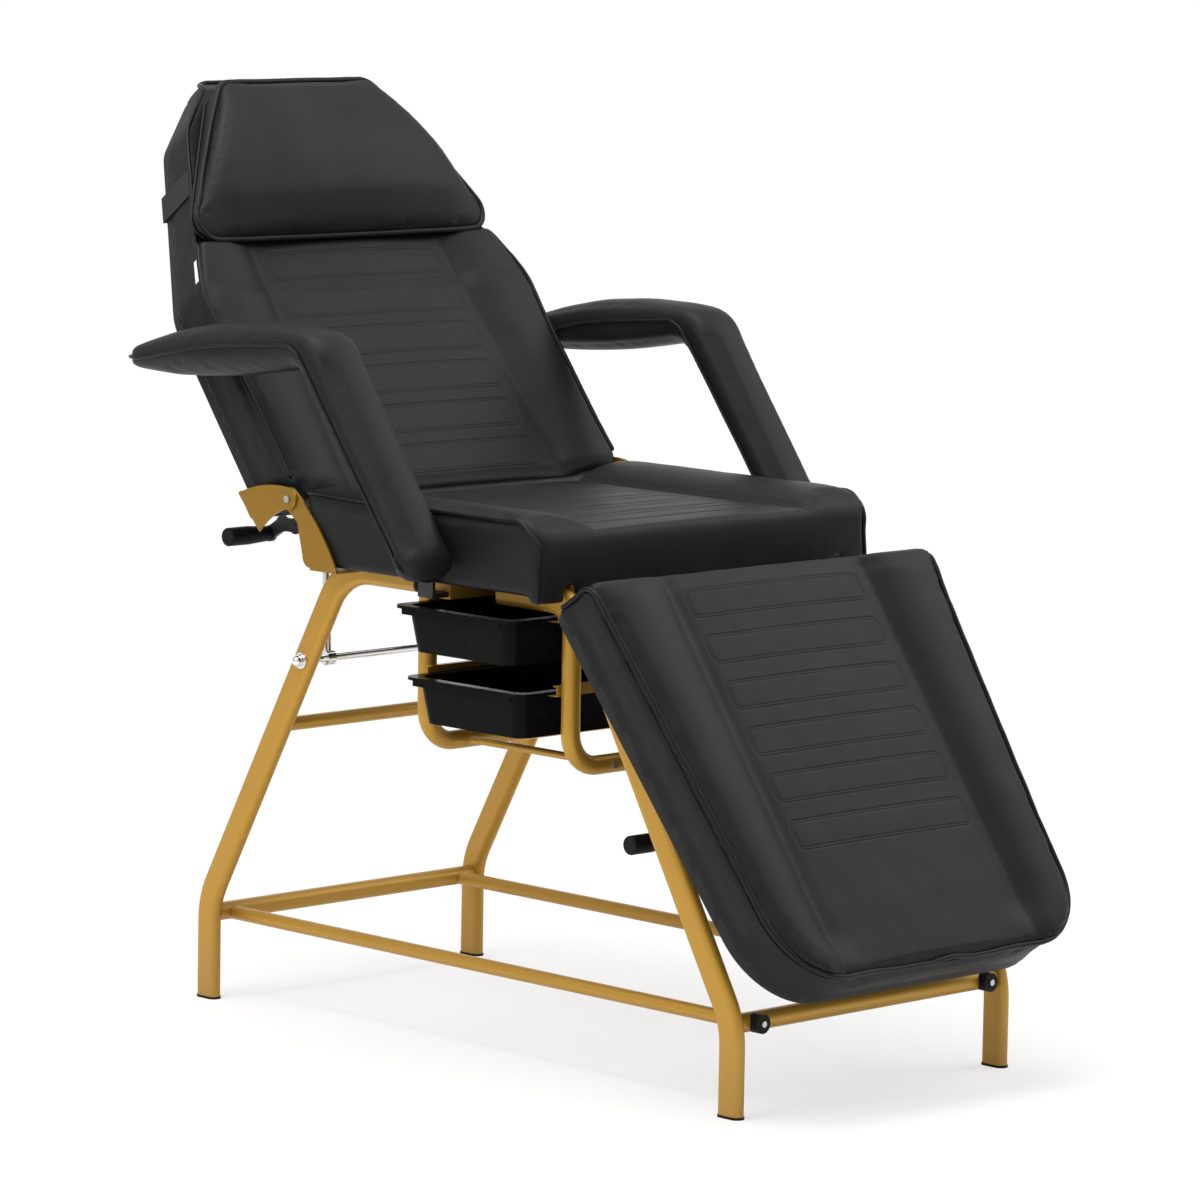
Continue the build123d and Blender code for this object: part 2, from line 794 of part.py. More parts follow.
def leg_cushion():
    """The leg rest pad."""
    slope = (leg_half_x - leg_end_half_x) / leg_length
    profiles = [
        pad_profile(y, leg_half_x + y * slope, 0, leg_pad_depth, leg_half_x + y * slope - leg_groove_x,
                    leg_roll_rise, leg_valley, leg_crown)
        for y in (-leg_length - overrun, overrun)
    ]
    pad = loft(profiles, ruled=True)
    pad = pad & extrude(Pos(0, 0, -2 * leg_pad_depth) * leg_outline(0), amount=4 * leg_pad_depth)
    return leg_frame() * (pad - edge_cutter(0, leg_roll_rise, leg_top_round, 1))


def leg_board():
    """The board behind the leg rest pad."""
    low = -leg_pad_depth - leg_board_thick
    return leg_frame() * extrude(Pos(0, 0, low) * leg_outline(leg_board_inset), amount=leg_board_thick)


def polar(centre, radius, angle):
    """The (y, z) point at a radius and angle from a centre."""
    return centre[0] + radius * cos(radians(angle)), centre[1] + radius * sin(radians(angle))


def pivot_hole(side):
    """The hole of the backrest's pivot bolt through both plates of a side."""
    x = side * seat_half_x
    reach = side * (seat_half_x + 2 * plate_gap + 2 * plate_thick + overrun)
    return round_x(pivot_bolt_radius + running_gap, x, reach, back_hinge_y, back_hinge_z)


def back_plate(side):
    """A gold plate: an arched arm from the pivot to the rear of the backrest."""
    x0 = side * (seat_half_x + 2 * plate_gap + plate_thick)
    x1 = x0 + side * plate_thick

    def spot(radius, angle):
        return x0, *polar((back_hinge_y, back_hinge_z), radius, angle)

    top_tip, low_tip = spot(plate_reach, plate_top_angle), spot(plate_low_reach, plate_low_angle)
    top_bow, low_bow = spot(plate_top_bow, plate_top_bow_angle), spot(plate_low_bow, plate_low_bow_angle)
    edge, root = spot(pivot_boss, plate_edge_angle), spot(pivot_boss, plate_root_angle)
    low_edge = spot(pivot_boss, plate_low_edge_angle)
    edges = [
        ThreePointArc(edge, top_bow, top_tip),
        Line(top_tip, low_tip),
        ThreePointArc(low_tip, low_bow, low_edge),
        ThreePointArc(low_edge, root, edge),
    ]
    plate = side_plate([line.edge() for line in edges], x0, x1)
    inner = side * (back_half_x - plate_flange)
    x_low, x_high = sorted((inner, x1))
    end = (back_rear_frame().inverse() * Pos(*top_tip)).position.Y
    flange = block(x_low, x_high, overrun, end, -plate_thick, 0)
    return (plate + back_rear_frame() * flange) - pivot_hole(side)


def seat_plate(side):
    """A gold plate: it hangs from the pivot beside the seat and turns in to the stub."""
    x0 = side * (seat_half_x + plate_gap)
    x1 = x0 + side * plate_thick
    foot_z = back_hinge_z - seat_plate_drop
    front = back_hinge_y - plate_foot_back
    rear = front + seat_plate_width
    low, side_reach = rear - pivot_boss, pivot_boss * pivot_round_share
    upper = (x0, back_hinge_y - side_reach, back_hinge_z + side_reach)
    under = (x0, back_hinge_y + side_reach, back_hinge_z - side_reach)
    crown = (x0, back_hinge_y + side_reach, back_hinge_z + side_reach)
    waist = (x0, back_hinge_y - pivot_boss, back_hinge_z - 2 * pivot_boss)
    heel = (x0, rear, foot_z + pivot_boss)
    bow = (x0, *polar((back_hinge_y, back_hinge_z), seat_plate_bow, seat_plate_bow_angle))
    round_middle = pivot_boss * (1 - pivot_round_share)
    edges = [
        ThreePointArc(upper, bow, (x0, front, foot_z)),
        Line((x0, front, foot_z), (x0, low, foot_z)),
        ThreePointArc((x0, low, foot_z), (x0, rear - round_middle, foot_z + round_middle), heel),
        Line(heel, waist),
        Line(waist, under),
        ThreePointArc(under, crown, upper),
    ]
    plate = side_plate([line.edge() for line in edges], x0, x1)
    stub_face = side * (foot_half_x + leg_width / 2)
    x_low, x_high = sorted((stub_face, x1))
    plate += block(x_low, x_high, front, low, foot_z - plate_thick, foot_z)
    return plate - pivot_hole(side)


def pivot_bolts():
    """The two bolts that the backrest turns on: domed head, shank and nut."""
    bolts = []
    for side in (-1, 1):
        nut_face = side * (seat_half_x + plate_gap)
        nut_end = nut_face - side * pivot_nut_length
        head_face = side * (seat_half_x + 2 * plate_gap + 2 * plate_thick + pivot_head_gap)
        bolt = round_x(pivot_bolt_radius, nut_end, head_face + side * pivot_head_height,
                       back_hinge_y, back_hinge_z)
        bolt += round_x(pivot_nut_radius, nut_end, nut_face, back_hinge_y, back_hinge_z)
        bolt += round_x(pivot_head_radius, head_face, head_face + side * pivot_head_height,
                        back_hinge_y, back_hinge_z)
        bolts.append(bolt)
    return Compound(children=bolts)


def fixed_leaves():
    """Hinge leaves screwed under the seat, each with two knuckles."""
    leaves = []
    for side in (-1, 1):
        x = side * leaf_x
        top = board_z()
        leaf = block(x - leaf_half_width, x + leaf_half_width, leg_hinge_y + 3 * knuckle_radius,
                     leg_hinge_y + 3 * knuckle_radius + leaf_length, top - leaf_thick, top)
        arm = block(x - leaf_half_width, x + leaf_half_width, leg_hinge_y, leg_hinge_y + 3 * knuckle_radius
                    + leaf_thick, leg_hinge_z - leaf_thick / 2, leg_hinge_z + leaf_thick / 2)
        riser = block(x - leaf_half_width, x + leaf_half_width, leg_hinge_y + 3 * knuckle_radius,
                      leg_hinge_y + 3 * knuckle_radius + leaf_thick, leg_hinge_z - leaf_thick / 2, top)
        knuckle = round_x(knuckle_radius, x - leaf_half_width, x + leaf_half_width, leg_hinge_y, leg_hinge_z)
        whole = leaf + arm + riser + knuckle
        third = leaf_half_width / 3 + knuckle_gap
        room = knuckle_radius + soft_gap
        whole -= block(x - third, x + third, leg_hinge_y - room, leg_hinge_y + room,
                       leg_hinge_z - room, leg_hinge_z + room)
        whole -= round_x(leg_pin_radius, x - leaf_half_width, x + leaf_half_width, leg_hinge_y, leg_hinge_z)
        leaves.append(whole)
    return Compound(children=leaves)


def moving_leaves():
    """Hinge leaves on the back of the leg rest, each with one knuckle."""
    leaves = []
    rear = -leg_pad_depth - leg_board_thick
    for side in (-1, 1):
        x = side * leaf_x
        third = leaf_half_width / 3
        leaf = leg_frame() * block(x - third, x + third, -leaf_length, leg_gap, rear - leaf_thick, rear)
        knuckle = round_x(knuckle_radius, x - third, x + third, leg_hinge_y, leg_hinge_z)
        web = leg_frame() * block(x - third, x + third, 0, leg_gap + leaf_thick / 2,
                                  -leg_lift - leaf_thick / 2, rear)
        whole = leaf + web + knuckle
        whole -= round_x(leg_pin_radius + running_gap, x - leaf_half_width, x + leaf_half_width,
                         leg_hinge_y, leg_hinge_z)
        leaves.append(whole)
    return Compound(children=leaves)


def leg_pins():
    """The pins of the leg rest's hinges."""
    pins = [
        round_x(leg_pin_radius, side * leaf_x - leaf_half_width, side * leaf_x + leaf_half_width,
                leg_hinge_y, leg_hinge_z)
        for side in (-1, 1)
    ]
    return Compound(children=pins)


def rod(x, foot, top, length):
    """A bright rod with an eye at its foot, pointing at its collar."""
    run = hypot(top[0] - foot[0], top[1] - foot[1])
    end = (foot[0] + (top[0] - foot[0]) * length / run, foot[1] + (top[1] - foot[1]) * length / run)
    shaft = bar_between(rod_radius, x, foot, end)
    return shaft + round_x(rod_eye_radius, x - rod_eye_half_width, x + rod_eye_half_width, *foot)


def collar(x, centre, aim):
    """A short sleeve round a rod, with a trunnion on each side."""
    run = hypot(aim[0] - centre[0], aim[1] - centre[1])
    step = ((aim[0] - centre[0]) / run * collar_half_length, (aim[1] - centre[1]) / run * collar_half_length)
    ends = ((centre[0] - step[0], centre[1] - step[1]), (centre[0] + step[0], centre[1] + step[1]))
    reach = collar_radius + cheek_gap + cheek_thick
    body = bar_between(collar_radius, x, *ends)
    body += round_x(trunnion_radius, x - reach, x + reach, *centre)
    return body - bar_between(collar_bore, x, (centre[0] - 2 * step[0], centre[1] - 2 * step[1]),
                              (centre[0] + 2 * step[0], centre[1] + 2 * step[1]))


def strut_bar_point():
    return strut_bar_y(), strut_bar_z


def back_trunnion():
    return back_trunnion_y, back_trunnion_z


def back_rod():
    """The rod that props the backrest, hooked round the strut bar."""
    whole = rod(back_rod_x, strut_bar_point(), back_trunnion(), back_rod_length)
    return whole - round_x(strut_bar_radius + running_gap, back_rod_x - rod_eye_radius,
                           back_rod_x + rod_eye_radius, *strut_bar_point())


def cheek(x, outline_points, trunnion):
    """One side of a lock bracket: a plate with a boss and a hole for the trunnion."""
    plate = side_plate(polygon_edges(x, outline_points), x, x + cheek_thick)
    plate += round_x(cheek_boss, x, x + cheek_thick, *trunnion)
    return plate - round_x(trunnion_radius + running_gap, x - overrun, x + 2 * cheek_thick, *trunnion)


def lock_half_gap():
    """Half the room between the cheeks that hold a collar."""
    return collar_radius + cheek_gap


def lever_outer_x(rod_x):
    """The outer face of a lever that runs beside its lock bracket."""
    return rod_x - lock_half_gap() - cheek_thick - slide_gap - lever_thick


def lever_pin_bar(rod_x, pin):
    """The pin of a lever, from inside the left cheek to just past the lever."""
    return round_x(lever_pin_radius, lever_outer_x(rod_x) - slide_gap, rod_x - lock_half_gap(), *pin)


def back_lock_bracket():
    """Two cheeks on the backrest board that carry the collar and the lever pin."""
    near = lock_half_gap()
    base = back_rear_frame()
    root, end = [(base * Pos(0, y, -cheek_web)).position for y in (overrun, back_bracket_reach)]
    trunnion = back_trunnion()
    pin = (back_lever_pin_y, back_lever_pin_z)
    points = [
        (root.Y, root.Z),
        (end.Y, end.Z),
        (pin[0] + lever_pin_radius, pin[1] - cheek_boss / 2),
        (trunnion[0], trunnion[1] - cheek_boss),
        (trunnion[0] - cheek_boss, trunnion[1]),
    ]
    web = block(back_rod_x - near - cheek_thick, back_rod_x + near + cheek_thick,
                overrun, back_bracket_reach, -cheek_web, 0)
    bracket = base * web
    for x in (back_rod_x - near - cheek_thick, back_rod_x + near):
        bracket += cheek(x, points, trunnion)
    return bracket + lever_pin_bar(back_rod_x, pin)


def lever(x0, x1, pin, knee, hand):
    """A bent lever plate from its pin to its grip, with a round boss at each corner."""
    whole = round_x(lever_boss, x0, x1, *pin) + round_x(lever_boss, x0, x1, *knee)
    whole += round_x(lever_boss, x0, x1, *hand)
    for start, end in ((pin, knee), (knee, hand)):
        run = hypot(end[0] - start[0], end[1] - start[1])
        side = (-(end[1] - start[1]) / run * lever_web_half, (end[0] - start[0]) / run * lever_web_half)
        points = [
            (start[0] + side[0], start[1] + side[1]), (end[0] + side[0], end[1] + side[1]),
            (end[0] - side[0], end[1] - side[1]), (start[0] - side[0], start[1] - side[1]),
        ]
        whole += side_plate(polygon_edges(x0, points), x0, x1)
    return whole - round_x(lever_pin_radius + running_gap, x0 - overrun, x1 + overrun, *pin)


def grip(end_x, spot):
    """A plastic handle along X that swells at its end, bored for its stem."""
    neck_x = end_x + grip_length
    handle = round_x(grip_radius, end_x, end_x + grip_length / 2, *spot)
    handle += Pos(end_x + grip_length * 3 / 4, *spot) * Rot(0, 90, 0) \
        * Cone(grip_radius, grip_neck_radius, grip_length / 2)
    rim = handle.faces().sort_by(Axis.X)[0].edges()
    handle = fillet(rim, grip_radius / 4)
    bore_x = neck_x - grip_length * grip_stem_share - slide_gap
    return handle - round_x(grip_stem_radius + fit_gap, bore_x, neck_x + overrun, *spot)


def back_lever():
    """The release lever of the backrest, with the stem of its grip."""
    x0 = lever_outer_x(back_rod_x)
    hand = (back_grip_y, back_grip_z)
    knee = (back_lever_knee_y, back_lever_knee_z)
    whole = lever(x0, x0 + lever_thick, (back_lever_pin_y, back_lever_pin_z), knee, hand)
    return whole + round_x(grip_stem_radius, x0 - grip_length * grip_stem_share, x0, *hand)


def back_grip():
    return grip(lever_outer_x(back_rod_x) - grip_length, (back_grip_y, back_grip_z))


def leg_rod_top():
    return leg_rod_top_y, leg_rod_top_z


def leg_trunnion():
    return leg_trunnion_y, leg_trunnion_z


def leg_rod():
    """The rod of the leg rest: its eye hangs from the leg rest, its tail runs free."""
    whole = rod(leg_rod_x, leg_rod_top(), leg_trunnion(), leg_rod_length)
    return whole - round_x(trunnion_radius + running_gap, leg_rod_x - rod_eye_radius,
                           leg_rod_x + rod_eye_radius, *leg_rod_top())


def leg_rod_bracket():
    """Two ears and a pin on the leg rest board that carry the rod's eye."""
    base = leg_frame() * Pos(0, 0, -leg_pad_depth - leg_board_thick)
    near = rod_eye_half_width + cheek_gap
    corners = [(base * Pos(0, y, -cheek_web)).position for y in (-leg_bracket_reach, -overrun)]
    eye = leg_rod_top()
    bracket = base * block(leg_rod_x - near - cheek_thick, leg_rod_x + near + cheek_thick,
                           -leg_bracket_reach, -overrun, -cheek_web, 0)
    points = [
        (corners[0].Y, corners[0].Z), (corners[1].Y, corners[1].Z),
        (eye[0] + rod_eye_radius * 0.9, eye[1]), (eye[0], eye[1] - rod_eye_radius * 0.9),
    ]
    for x in (leg_rod_x - near - cheek_thick, leg_rod_x + near):
        bracket += side_plate(polygon_edges(x, points), x, x + cheek_thick)
        bracket += round_x(rod_eye_radius, x, x + cheek_thick, *eye)
    return bracket + round_x(trunnion_radius, leg_rod_x - near, leg_rod_x + near, *eye)


def leg_lock_bracket():
    """Two cheeks and a web on the front hoop that carry the collar and the lever pin."""
    near = lock_half_gap()
    trunnion = leg_trunnion()
    pin = (leg_lever_pin_y, leg_lever_pin_z)
    points = [
        (hoop_front_y, hoop_bottom_z + leg_bracket_half_z),
        (trunnion[0], trunnion[1] + cheek_boss),
        (pin[0] - lever_boss, pin[1]),
        (pin[0], pin[1] - lever_boss),
        (hoop_front_y, hoop_bottom_z - leg_bracket_half_z),
    ]
    x0, x1 = leg_rod_x - near - cheek_thick, leg_rod_x + near + cheek_thick
    bracket = block(x0, x1, hoop_front_y - hoop_radius - cheek_web, hoop_front_y,
                    hoop_bottom_z - leg_bracket_half_z, hoop_bottom_z + leg_bracket_half_z)
    for x in (x0, leg_rod_x + near):
        bracket += cheek(x, points, trunnion)
    bracket -= round_x(hoop_radius, -hoop_half_x, hoop_half_x, hoop_front_y, hoop_bottom_z)
    return bracket + lever_pin_bar(leg_rod_x, pin)


def leg_lever():
    """The release lever of the leg rest, with the stem of its grip."""
    x0 = lever_outer_x(leg_rod_x)
    hand = (leg_grip_y, leg_grip_z)
    knee = (leg_lever_knee_y, leg_lever_knee_z)
    whole = lever(x0, x0 + lever_thick, (leg_lever_pin_y, leg_lever_pin_z), knee, hand)
    stem_x = leg_grip_end_x + grip_length * (1 - grip_stem_share)
    return whole + round_x(grip_stem_radius, stem_x, x0, *hand)


def leg_grip():
    return grip(leg_grip_end_x, (leg_grip_y, leg_grip_z))


def arm_point(y_share, z_share):
    """A point of the armrest's side outline, as shares of its reach and rise."""
    return arm_foot_y + y_share * arm_reach, arm_foot_z + z_share * arm_rise


def arm_pad(side):
    """A bent armrest pad: a level rest and a slope down to the seat."""
    x = side * (arm_centre_x - arm_half_width)
    tip_low, tip, tip_top = (arm_point(*share) for share in arm_tip_shares)
    top_middle, top_end, bend, slope_top = (arm_point(*share) for share in arm_top_shares)
    slope_foot, toe, heel = (arm_point(*share) for share in arm_foot_shares)
    inner_foot, inner_bend, under, under_middle = (arm_point(*share) for share in arm_under_shares)

    def at(point):
        return (x, point[0], point[1])

    edges = [
        ThreePointArc(at(tip_low), at(tip), at(tip_top)),
        ThreePointArc(at(tip_top), at(top_middle), at(top_end)),
        ThreePointArc(at(top_end), at(bend), at(slope_top)),
        Line(at(slope_top), at(slope_foot)),
        ThreePointArc(at(slope_foot), at(toe), at(heel)),
        Line(at(heel), at(inner_foot)),
        ThreePointArc(at(inner_foot), at(inner_bend), at(under)),
        ThreePointArc(at(under), at(under_middle), at(tip_low)),
    ]
    pad = side_plate([line.edge() for line in edges], x, x + side * 2 * arm_half_width)
    pad = fillet(pad.edges().filter_by(Axis.X), arm_corner_round)
    pad = fillet(pad.faces().filter_by(Axis.X).edges(), arm_edge_round)
    return pad & arm_plan(side)


def arm_plan(side):
    """A tall block over the armrest's plan, its rear end rounded."""
    length, width = 2 * arm_reach, 2 * arm_half_width
    end = arm_foot_y + arm_reach * arm_end_share
    plan = Pos(side * arm_centre_x, end - length / 2) * Rectangle(width, length)
    plan = fillet(plan.vertices().sort_by(Axis.Y)[-2:], arm_tip_round)
    return extrude(Pos(0, 0, seat_skirt_z - arm_rise) * plan, amount=3 * arm_rise)


def arm_bracket(side):
    """A steel bracket: a plate beside the pad's foot and a tongue under the seat."""
    face = side * (arm_centre_x - arm_half_width)
    inner = face - side * bracket_thick
    y0, y1 = bracket_y - bracket_half_width, bracket_y + bracket_half_width
    x0, x1 = sorted((face, inner))
    plate = block(x0, x1, y0, y1, tongue_z, bracket_top_z)
    x0, x1 = sorted((face, side * tongue_end_x))
    return plate + block(x0, x1, y0, y1, tongue_z, tongue_z + tongue_thick)


def arm_socket(side):
    """A socket under the seat board that the bracket's tongue slides into."""
    mouth = side * (seat_half_x - board_inset - slide_gap)
    x0, x1 = sorted((mouth, side * socket_end_x))
    half = bracket_half_width + slide_gap + socket_wall
    box = block(x0, x1, bracket_y - half, bracket_y + half, tongue_z - socket_wall - slide_gap, board_z())
    room = bracket_half_width + slide_gap
    x0, x1 = sorted((mouth + side * overrun, side * (socket_end_x + socket_wall)))
    return box - block(x0, x1, bracket_y - room, bracket_y + room, tongue_z - slide_gap,
                       tongue_z + tongue_thick + slide_gap)


def all_pieces():
    """Every named piece of the chair in the frame of its feet."""
    return {
        "leg_front_left": front_leg(-1),
        "leg_front_right": front_leg(1),
        "leg_rear_left": rear_leg(-1),
        "leg_rear_right": rear_leg(1),
        "foot_caps": foot_caps(),
        "stub_end_caps": stub_end_caps(),
        "cross_tube_front": cross_tube(cross_tube_radius, -cross_tube_y, cross_tube_z),
        "cross_tube_rear": cross_tube(cross_tube_radius, cross_tube_y, cross_tube_z),
        "cross_tube_middle": cross_tube(middle_tube_radius, rear_leg_y(middle_tube_z), middle_tube_z),
        "side_rail_left": side_rail(-1),
        "side_rail_right": side_rail(1),
        "rail_knobs": rail_knobs(),
        "rail_bolts": rail_bolts(),
        "strut_bar": strut_bar(),
        "strut_bar_nuts": strut_bar_nuts(),
        "tray_hoop_front": tray_hoop(hoop_front_y),
        "tray_hoop_rear": tray_hoop(hoop_rear_y),
        "upper_runner_front": runner(-1, upper_runner_z),
        "upper_runner_rear": runner(1, upper_runner_z),
        "lower_runner_front": runner(-1, lower_runner_z),
        "lower_runner_rear": runner(1, lower_runner_z),
        "tie_bars": tie_bars(),
        "tie_bar_screws": tie_bar_screws(),
        "upper_tray": tray(upper_tray_front_x, upper_runner_z),
        "lower_tray": tray(lower_tray_front_x, lower_runner_z),
        "seat_board": seat_board(),
        "seat_cushion": seat_cushion(),
        "seat_plate_left": seat_plate(-1),
        "seat_plate_right": seat_plate(1),
        "pivot_bolts": pivot_bolts(),
        "back_board": back_board(),
        "back_cushion": back_cushion(),
        "back_plate_left": back_plate(-1),
        "back_plate_right": back_plate(1),
        "back_lock_bracket": back_lock_bracket(),
        "care_tag": care_tag(),
        "pillow": pillow(),
        "pillow_strap": pillow_strap(),
        "leg_cushion": leg_cushion(),
        "leg_board": leg_board(),
        "fixed_leaves": fixed_leaves(),
        "moving_leaves": moving_leaves(),
        "leg_pins": leg_pins(),
        "leg_rod_bracket": leg_rod_bracket(),
        "leg_lock_bracket": leg_lock_bracket(),
        "back_rod": back_rod(),
        "back_collar": collar(back_rod_x, back_trunnion(), strut_bar_point()),
        "back_lever": back_lever(),
        "back_grip": back_grip(),
        "leg_rod": leg_rod(),
        "leg_collar": collar(leg_rod_x, leg_trunnion(), leg_rod_top()),
        "leg_lever": leg_lever(),
        "leg_grip": leg_grip(),
        "arm_pad_left": arm_pad(-1),
        "arm_pad_right": arm_pad(1),
        "arm_bracket_left": arm_bracket(-1),
        "arm_bracket_right": arm_bracket(1),
        "arm_socket_left": arm_socket(-1),
        "arm_socket_right": arm_socket(1),
    }


def main():
    """Centre the chair over its origin and write one file for each piece."""
    pieces = all_pieces()
    boxes = [shape.bounding_box() for shape in pieces.values()]
    middle_x = (min(b.min.X for b in boxes) + max(b.max.X for b in boxes)) / 2
    middle_y = (min(b.min.Y for b in boxes) + max(b.max.Y for b in boxes)) / 2
    print("origin moved by", round(-middle_x, 3), round(-middle_y, 3))
    os.makedirs("parts", exist_ok=True)
    for name, shape in pieces.items():
        solids = [Pos(-middle_x, -middle_y, 0) * solid for solid in shape.solids()]
        export_step(Compound(solids), f"parts/{name}.step")


main()
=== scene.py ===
"""A reclining treatment chair: padded seat, backrest, leg rest, pillow and armrests on a gold tube frame."""
import json
import math
from types import SimpleNamespace as Plan

import bmesh
import bpy
import numpy as np
from bpy.props import FloatProperty, FloatVectorProperty, IntProperty, PointerProperty
from mathutils import Matrix, Vector


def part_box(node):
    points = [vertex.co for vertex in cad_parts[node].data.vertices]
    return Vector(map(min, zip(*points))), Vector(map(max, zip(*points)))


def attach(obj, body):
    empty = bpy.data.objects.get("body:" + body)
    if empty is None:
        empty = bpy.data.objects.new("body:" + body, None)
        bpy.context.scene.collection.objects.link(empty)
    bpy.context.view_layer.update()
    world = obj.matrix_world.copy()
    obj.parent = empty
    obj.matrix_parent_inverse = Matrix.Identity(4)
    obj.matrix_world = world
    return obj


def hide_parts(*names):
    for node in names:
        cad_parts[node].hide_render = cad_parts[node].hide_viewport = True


bl_info = {
    "name": "Treatment chair",
    "version": (1, 0, 0),
    "blender": (4, 5, 0),
    "location": "View3D > Sidebar > Treatment chair",
    "description": "Upholstery, finishes and stage for a reclining treatment chair",
    "category": "Add Mesh",
}

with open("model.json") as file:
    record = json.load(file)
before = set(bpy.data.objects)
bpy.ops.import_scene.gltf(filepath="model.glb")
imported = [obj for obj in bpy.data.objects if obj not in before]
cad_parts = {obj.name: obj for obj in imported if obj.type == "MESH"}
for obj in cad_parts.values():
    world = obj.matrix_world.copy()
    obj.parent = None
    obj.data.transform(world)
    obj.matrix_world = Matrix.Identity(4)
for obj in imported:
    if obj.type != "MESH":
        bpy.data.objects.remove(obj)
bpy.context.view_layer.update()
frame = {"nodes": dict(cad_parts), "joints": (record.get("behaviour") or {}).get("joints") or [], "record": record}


# Settings

def length(name, description, default):
    """A length in metres that the sidebar shows."""
    return FloatProperty(name=name, description=description, default=default, min=0.0, unit="LENGTH")


def colour(name, description, default):
    """A linear colour that the sidebar shows."""
    return FloatVectorProperty(name=name, description=description, default=default, size=3,
                               min=0.0, max=1.0, subtype="COLOR")


class ChairFinishes(bpy.types.PropertyGroup):
    """Colours and surface values of the chair's finishes."""
    gold: colour("Gold paint", "Colour of the painted tube frame", (0.47, 0.252, 0.028))
    plate: colour("Plate paint", "Colour of the pivot plates and hinges", (0.29, 0.150, 0.006))
    vinyl: colour("Vinyl", "Colour of the upholstery", (0.0092, 0.0092, 0.0096))
    vinyl_worn: colour("Worn vinyl", "Colour of the upholstery where it is rubbed", (0.0132, 0.0132, 0.0136))
    # Darker than the vinyl: partly the cord's own tone, partly painted shade that lies along the piping.
    cord: colour("Covered cord", "Colour of the piping along the pads", (0.0045, 0.0045, 0.0047))
    tray: colour("Tray plastic", "Colour of the trays", (0.0045, 0.0045, 0.005))
    plastic: colour("Black plastic", "Colour of caps, knobs and grips", (0.006, 0.006, 0.006))
    steel: colour("Black steel", "Colour of the lock brackets and levers", (0.014, 0.014, 0.015))
    chrome: colour("Chrome", "Colour of the polished rods", (0.78, 0.79, 0.80))
    zinc: colour("Zinc", "Colour of the bolts and pins", (0.55, 0.55, 0.53))
    board: colour("Board cloth", "Colour of the dark cloth over the boards", (0.009, 0.009, 0.009))
    elastic: colour("Elastic", "Colour of the pillow's belt", (0.007, 0.007, 0.007))
    tag: colour("Tag", "Colour of the blank ribbon tag", (0.80, 0.80, 0.78))
    dust: colour("Dust", "Colour of the dust low on the legs", (0.26, 0.20, 0.12))


class ChairSoftness(bpy.types.PropertyGroup):
    """Sizes of the padding, its pressed panels and its piping."""
    skin_step: length("Skin step", "Edge length of the even skin laid over a pad", 0.005)
    swell: length("Swell", "How far the foam may push the skin out", 0.003)
    swell_steps: IntProperty(name="Swell steps", description="Steps that the foam swells for",
                             default=12, min=2, max=40)
    pressure: FloatProperty(name="Foam pressure", description="Pressure that swells the skin", default=4.0)
    puff: length("Panel puff", "How far a pressed panel stands above its lines", 0.0002)
    line_depth: length("Line depth", "How deep a pressed line sinks", 0.0008)
    line_width: length("Line width", "Half width of a pressed line", 0.0010)
    line_gap: length("Line gap", "Distance between a panel's two lines", 0.0036)
    piping: length("Piping radius", "Radius of the covered cord along the edges", 0.0034)


class ChairStage(bpy.types.PropertyGroup):
    """The floor, the lamps and the camera."""
    floor_size: length("Floor size", "Half width of the floor", 14.0)
    clear_floor: length("Shadow floor", "Radius within which the floor shows shadows", 1.15)
    faded_floor: length("Faded floor", "Radius at which the floor has faded to white", 2.6)
    veil: FloatProperty(name="Veil", description="Share of plain white over the floor's shadows",
                        default=0.62)
    surroundings: FloatProperty(name="Surroundings", description="Light from all round, where white is 1",
                                default=0.65)
    aim_across: FloatProperty(name="Aim across", description="Camera's target across the chair",
                              default=-0.0003, unit="LENGTH")
    aim_height: length("Aim height", "Camera's target above the floor", 0.5817)
    distance: length("Camera distance", "From the camera to the middle of the chair", 7.880)
    azimuth: FloatProperty(name="Azimuth", description="Camera azimuth in degrees", default=-44.53)
    elevation: FloatProperty(name="Elevation", description="Camera elevation in degrees", default=7.39)
    roll: FloatProperty(name="Roll", description="Camera roll in degrees", default=0.996)
    lens: FloatProperty(name="Lens", description="Focal length in millimetres", default=178.14, min=1.0)


# Shader maths

class Wire:
    """One output of a shader node. Sums, products and powers of it become Math nodes."""

    def __init__(self, paint, socket):
        self.paint, self.socket = paint, socket

    def work(self, operation, first, second):
        return self.paint.add("Math", {0: first, 1: second}, operation=operation)[0]

    def __add__(self, other):
        return self.work("ADD", self, other)

    __radd__ = __add__

    def __sub__(self, other):
        return self.work("SUBTRACT", self, other)

    def __rsub__(self, other):
        return self.work("SUBTRACT", other, self)

    def __mul__(self, other):
        return self.work("MULTIPLY", self, other)

    __rmul__ = __mul__

    def __pow__(self, other):
        return self.work("POWER", self, other)

    def kept(self):
        """The value kept between 0 and 1."""
        return self.paint.add("Clamp", {0: self})[0]

    def ramp(self, low, high):
        """0 below low, 1 above high, smooth between."""
        return self.paint.add("MapRange", {0: self, 1: low, 2: high, 3: 0.0, 4: 1.0},
                              interpolation_type="SMOOTHSTEP")[0]


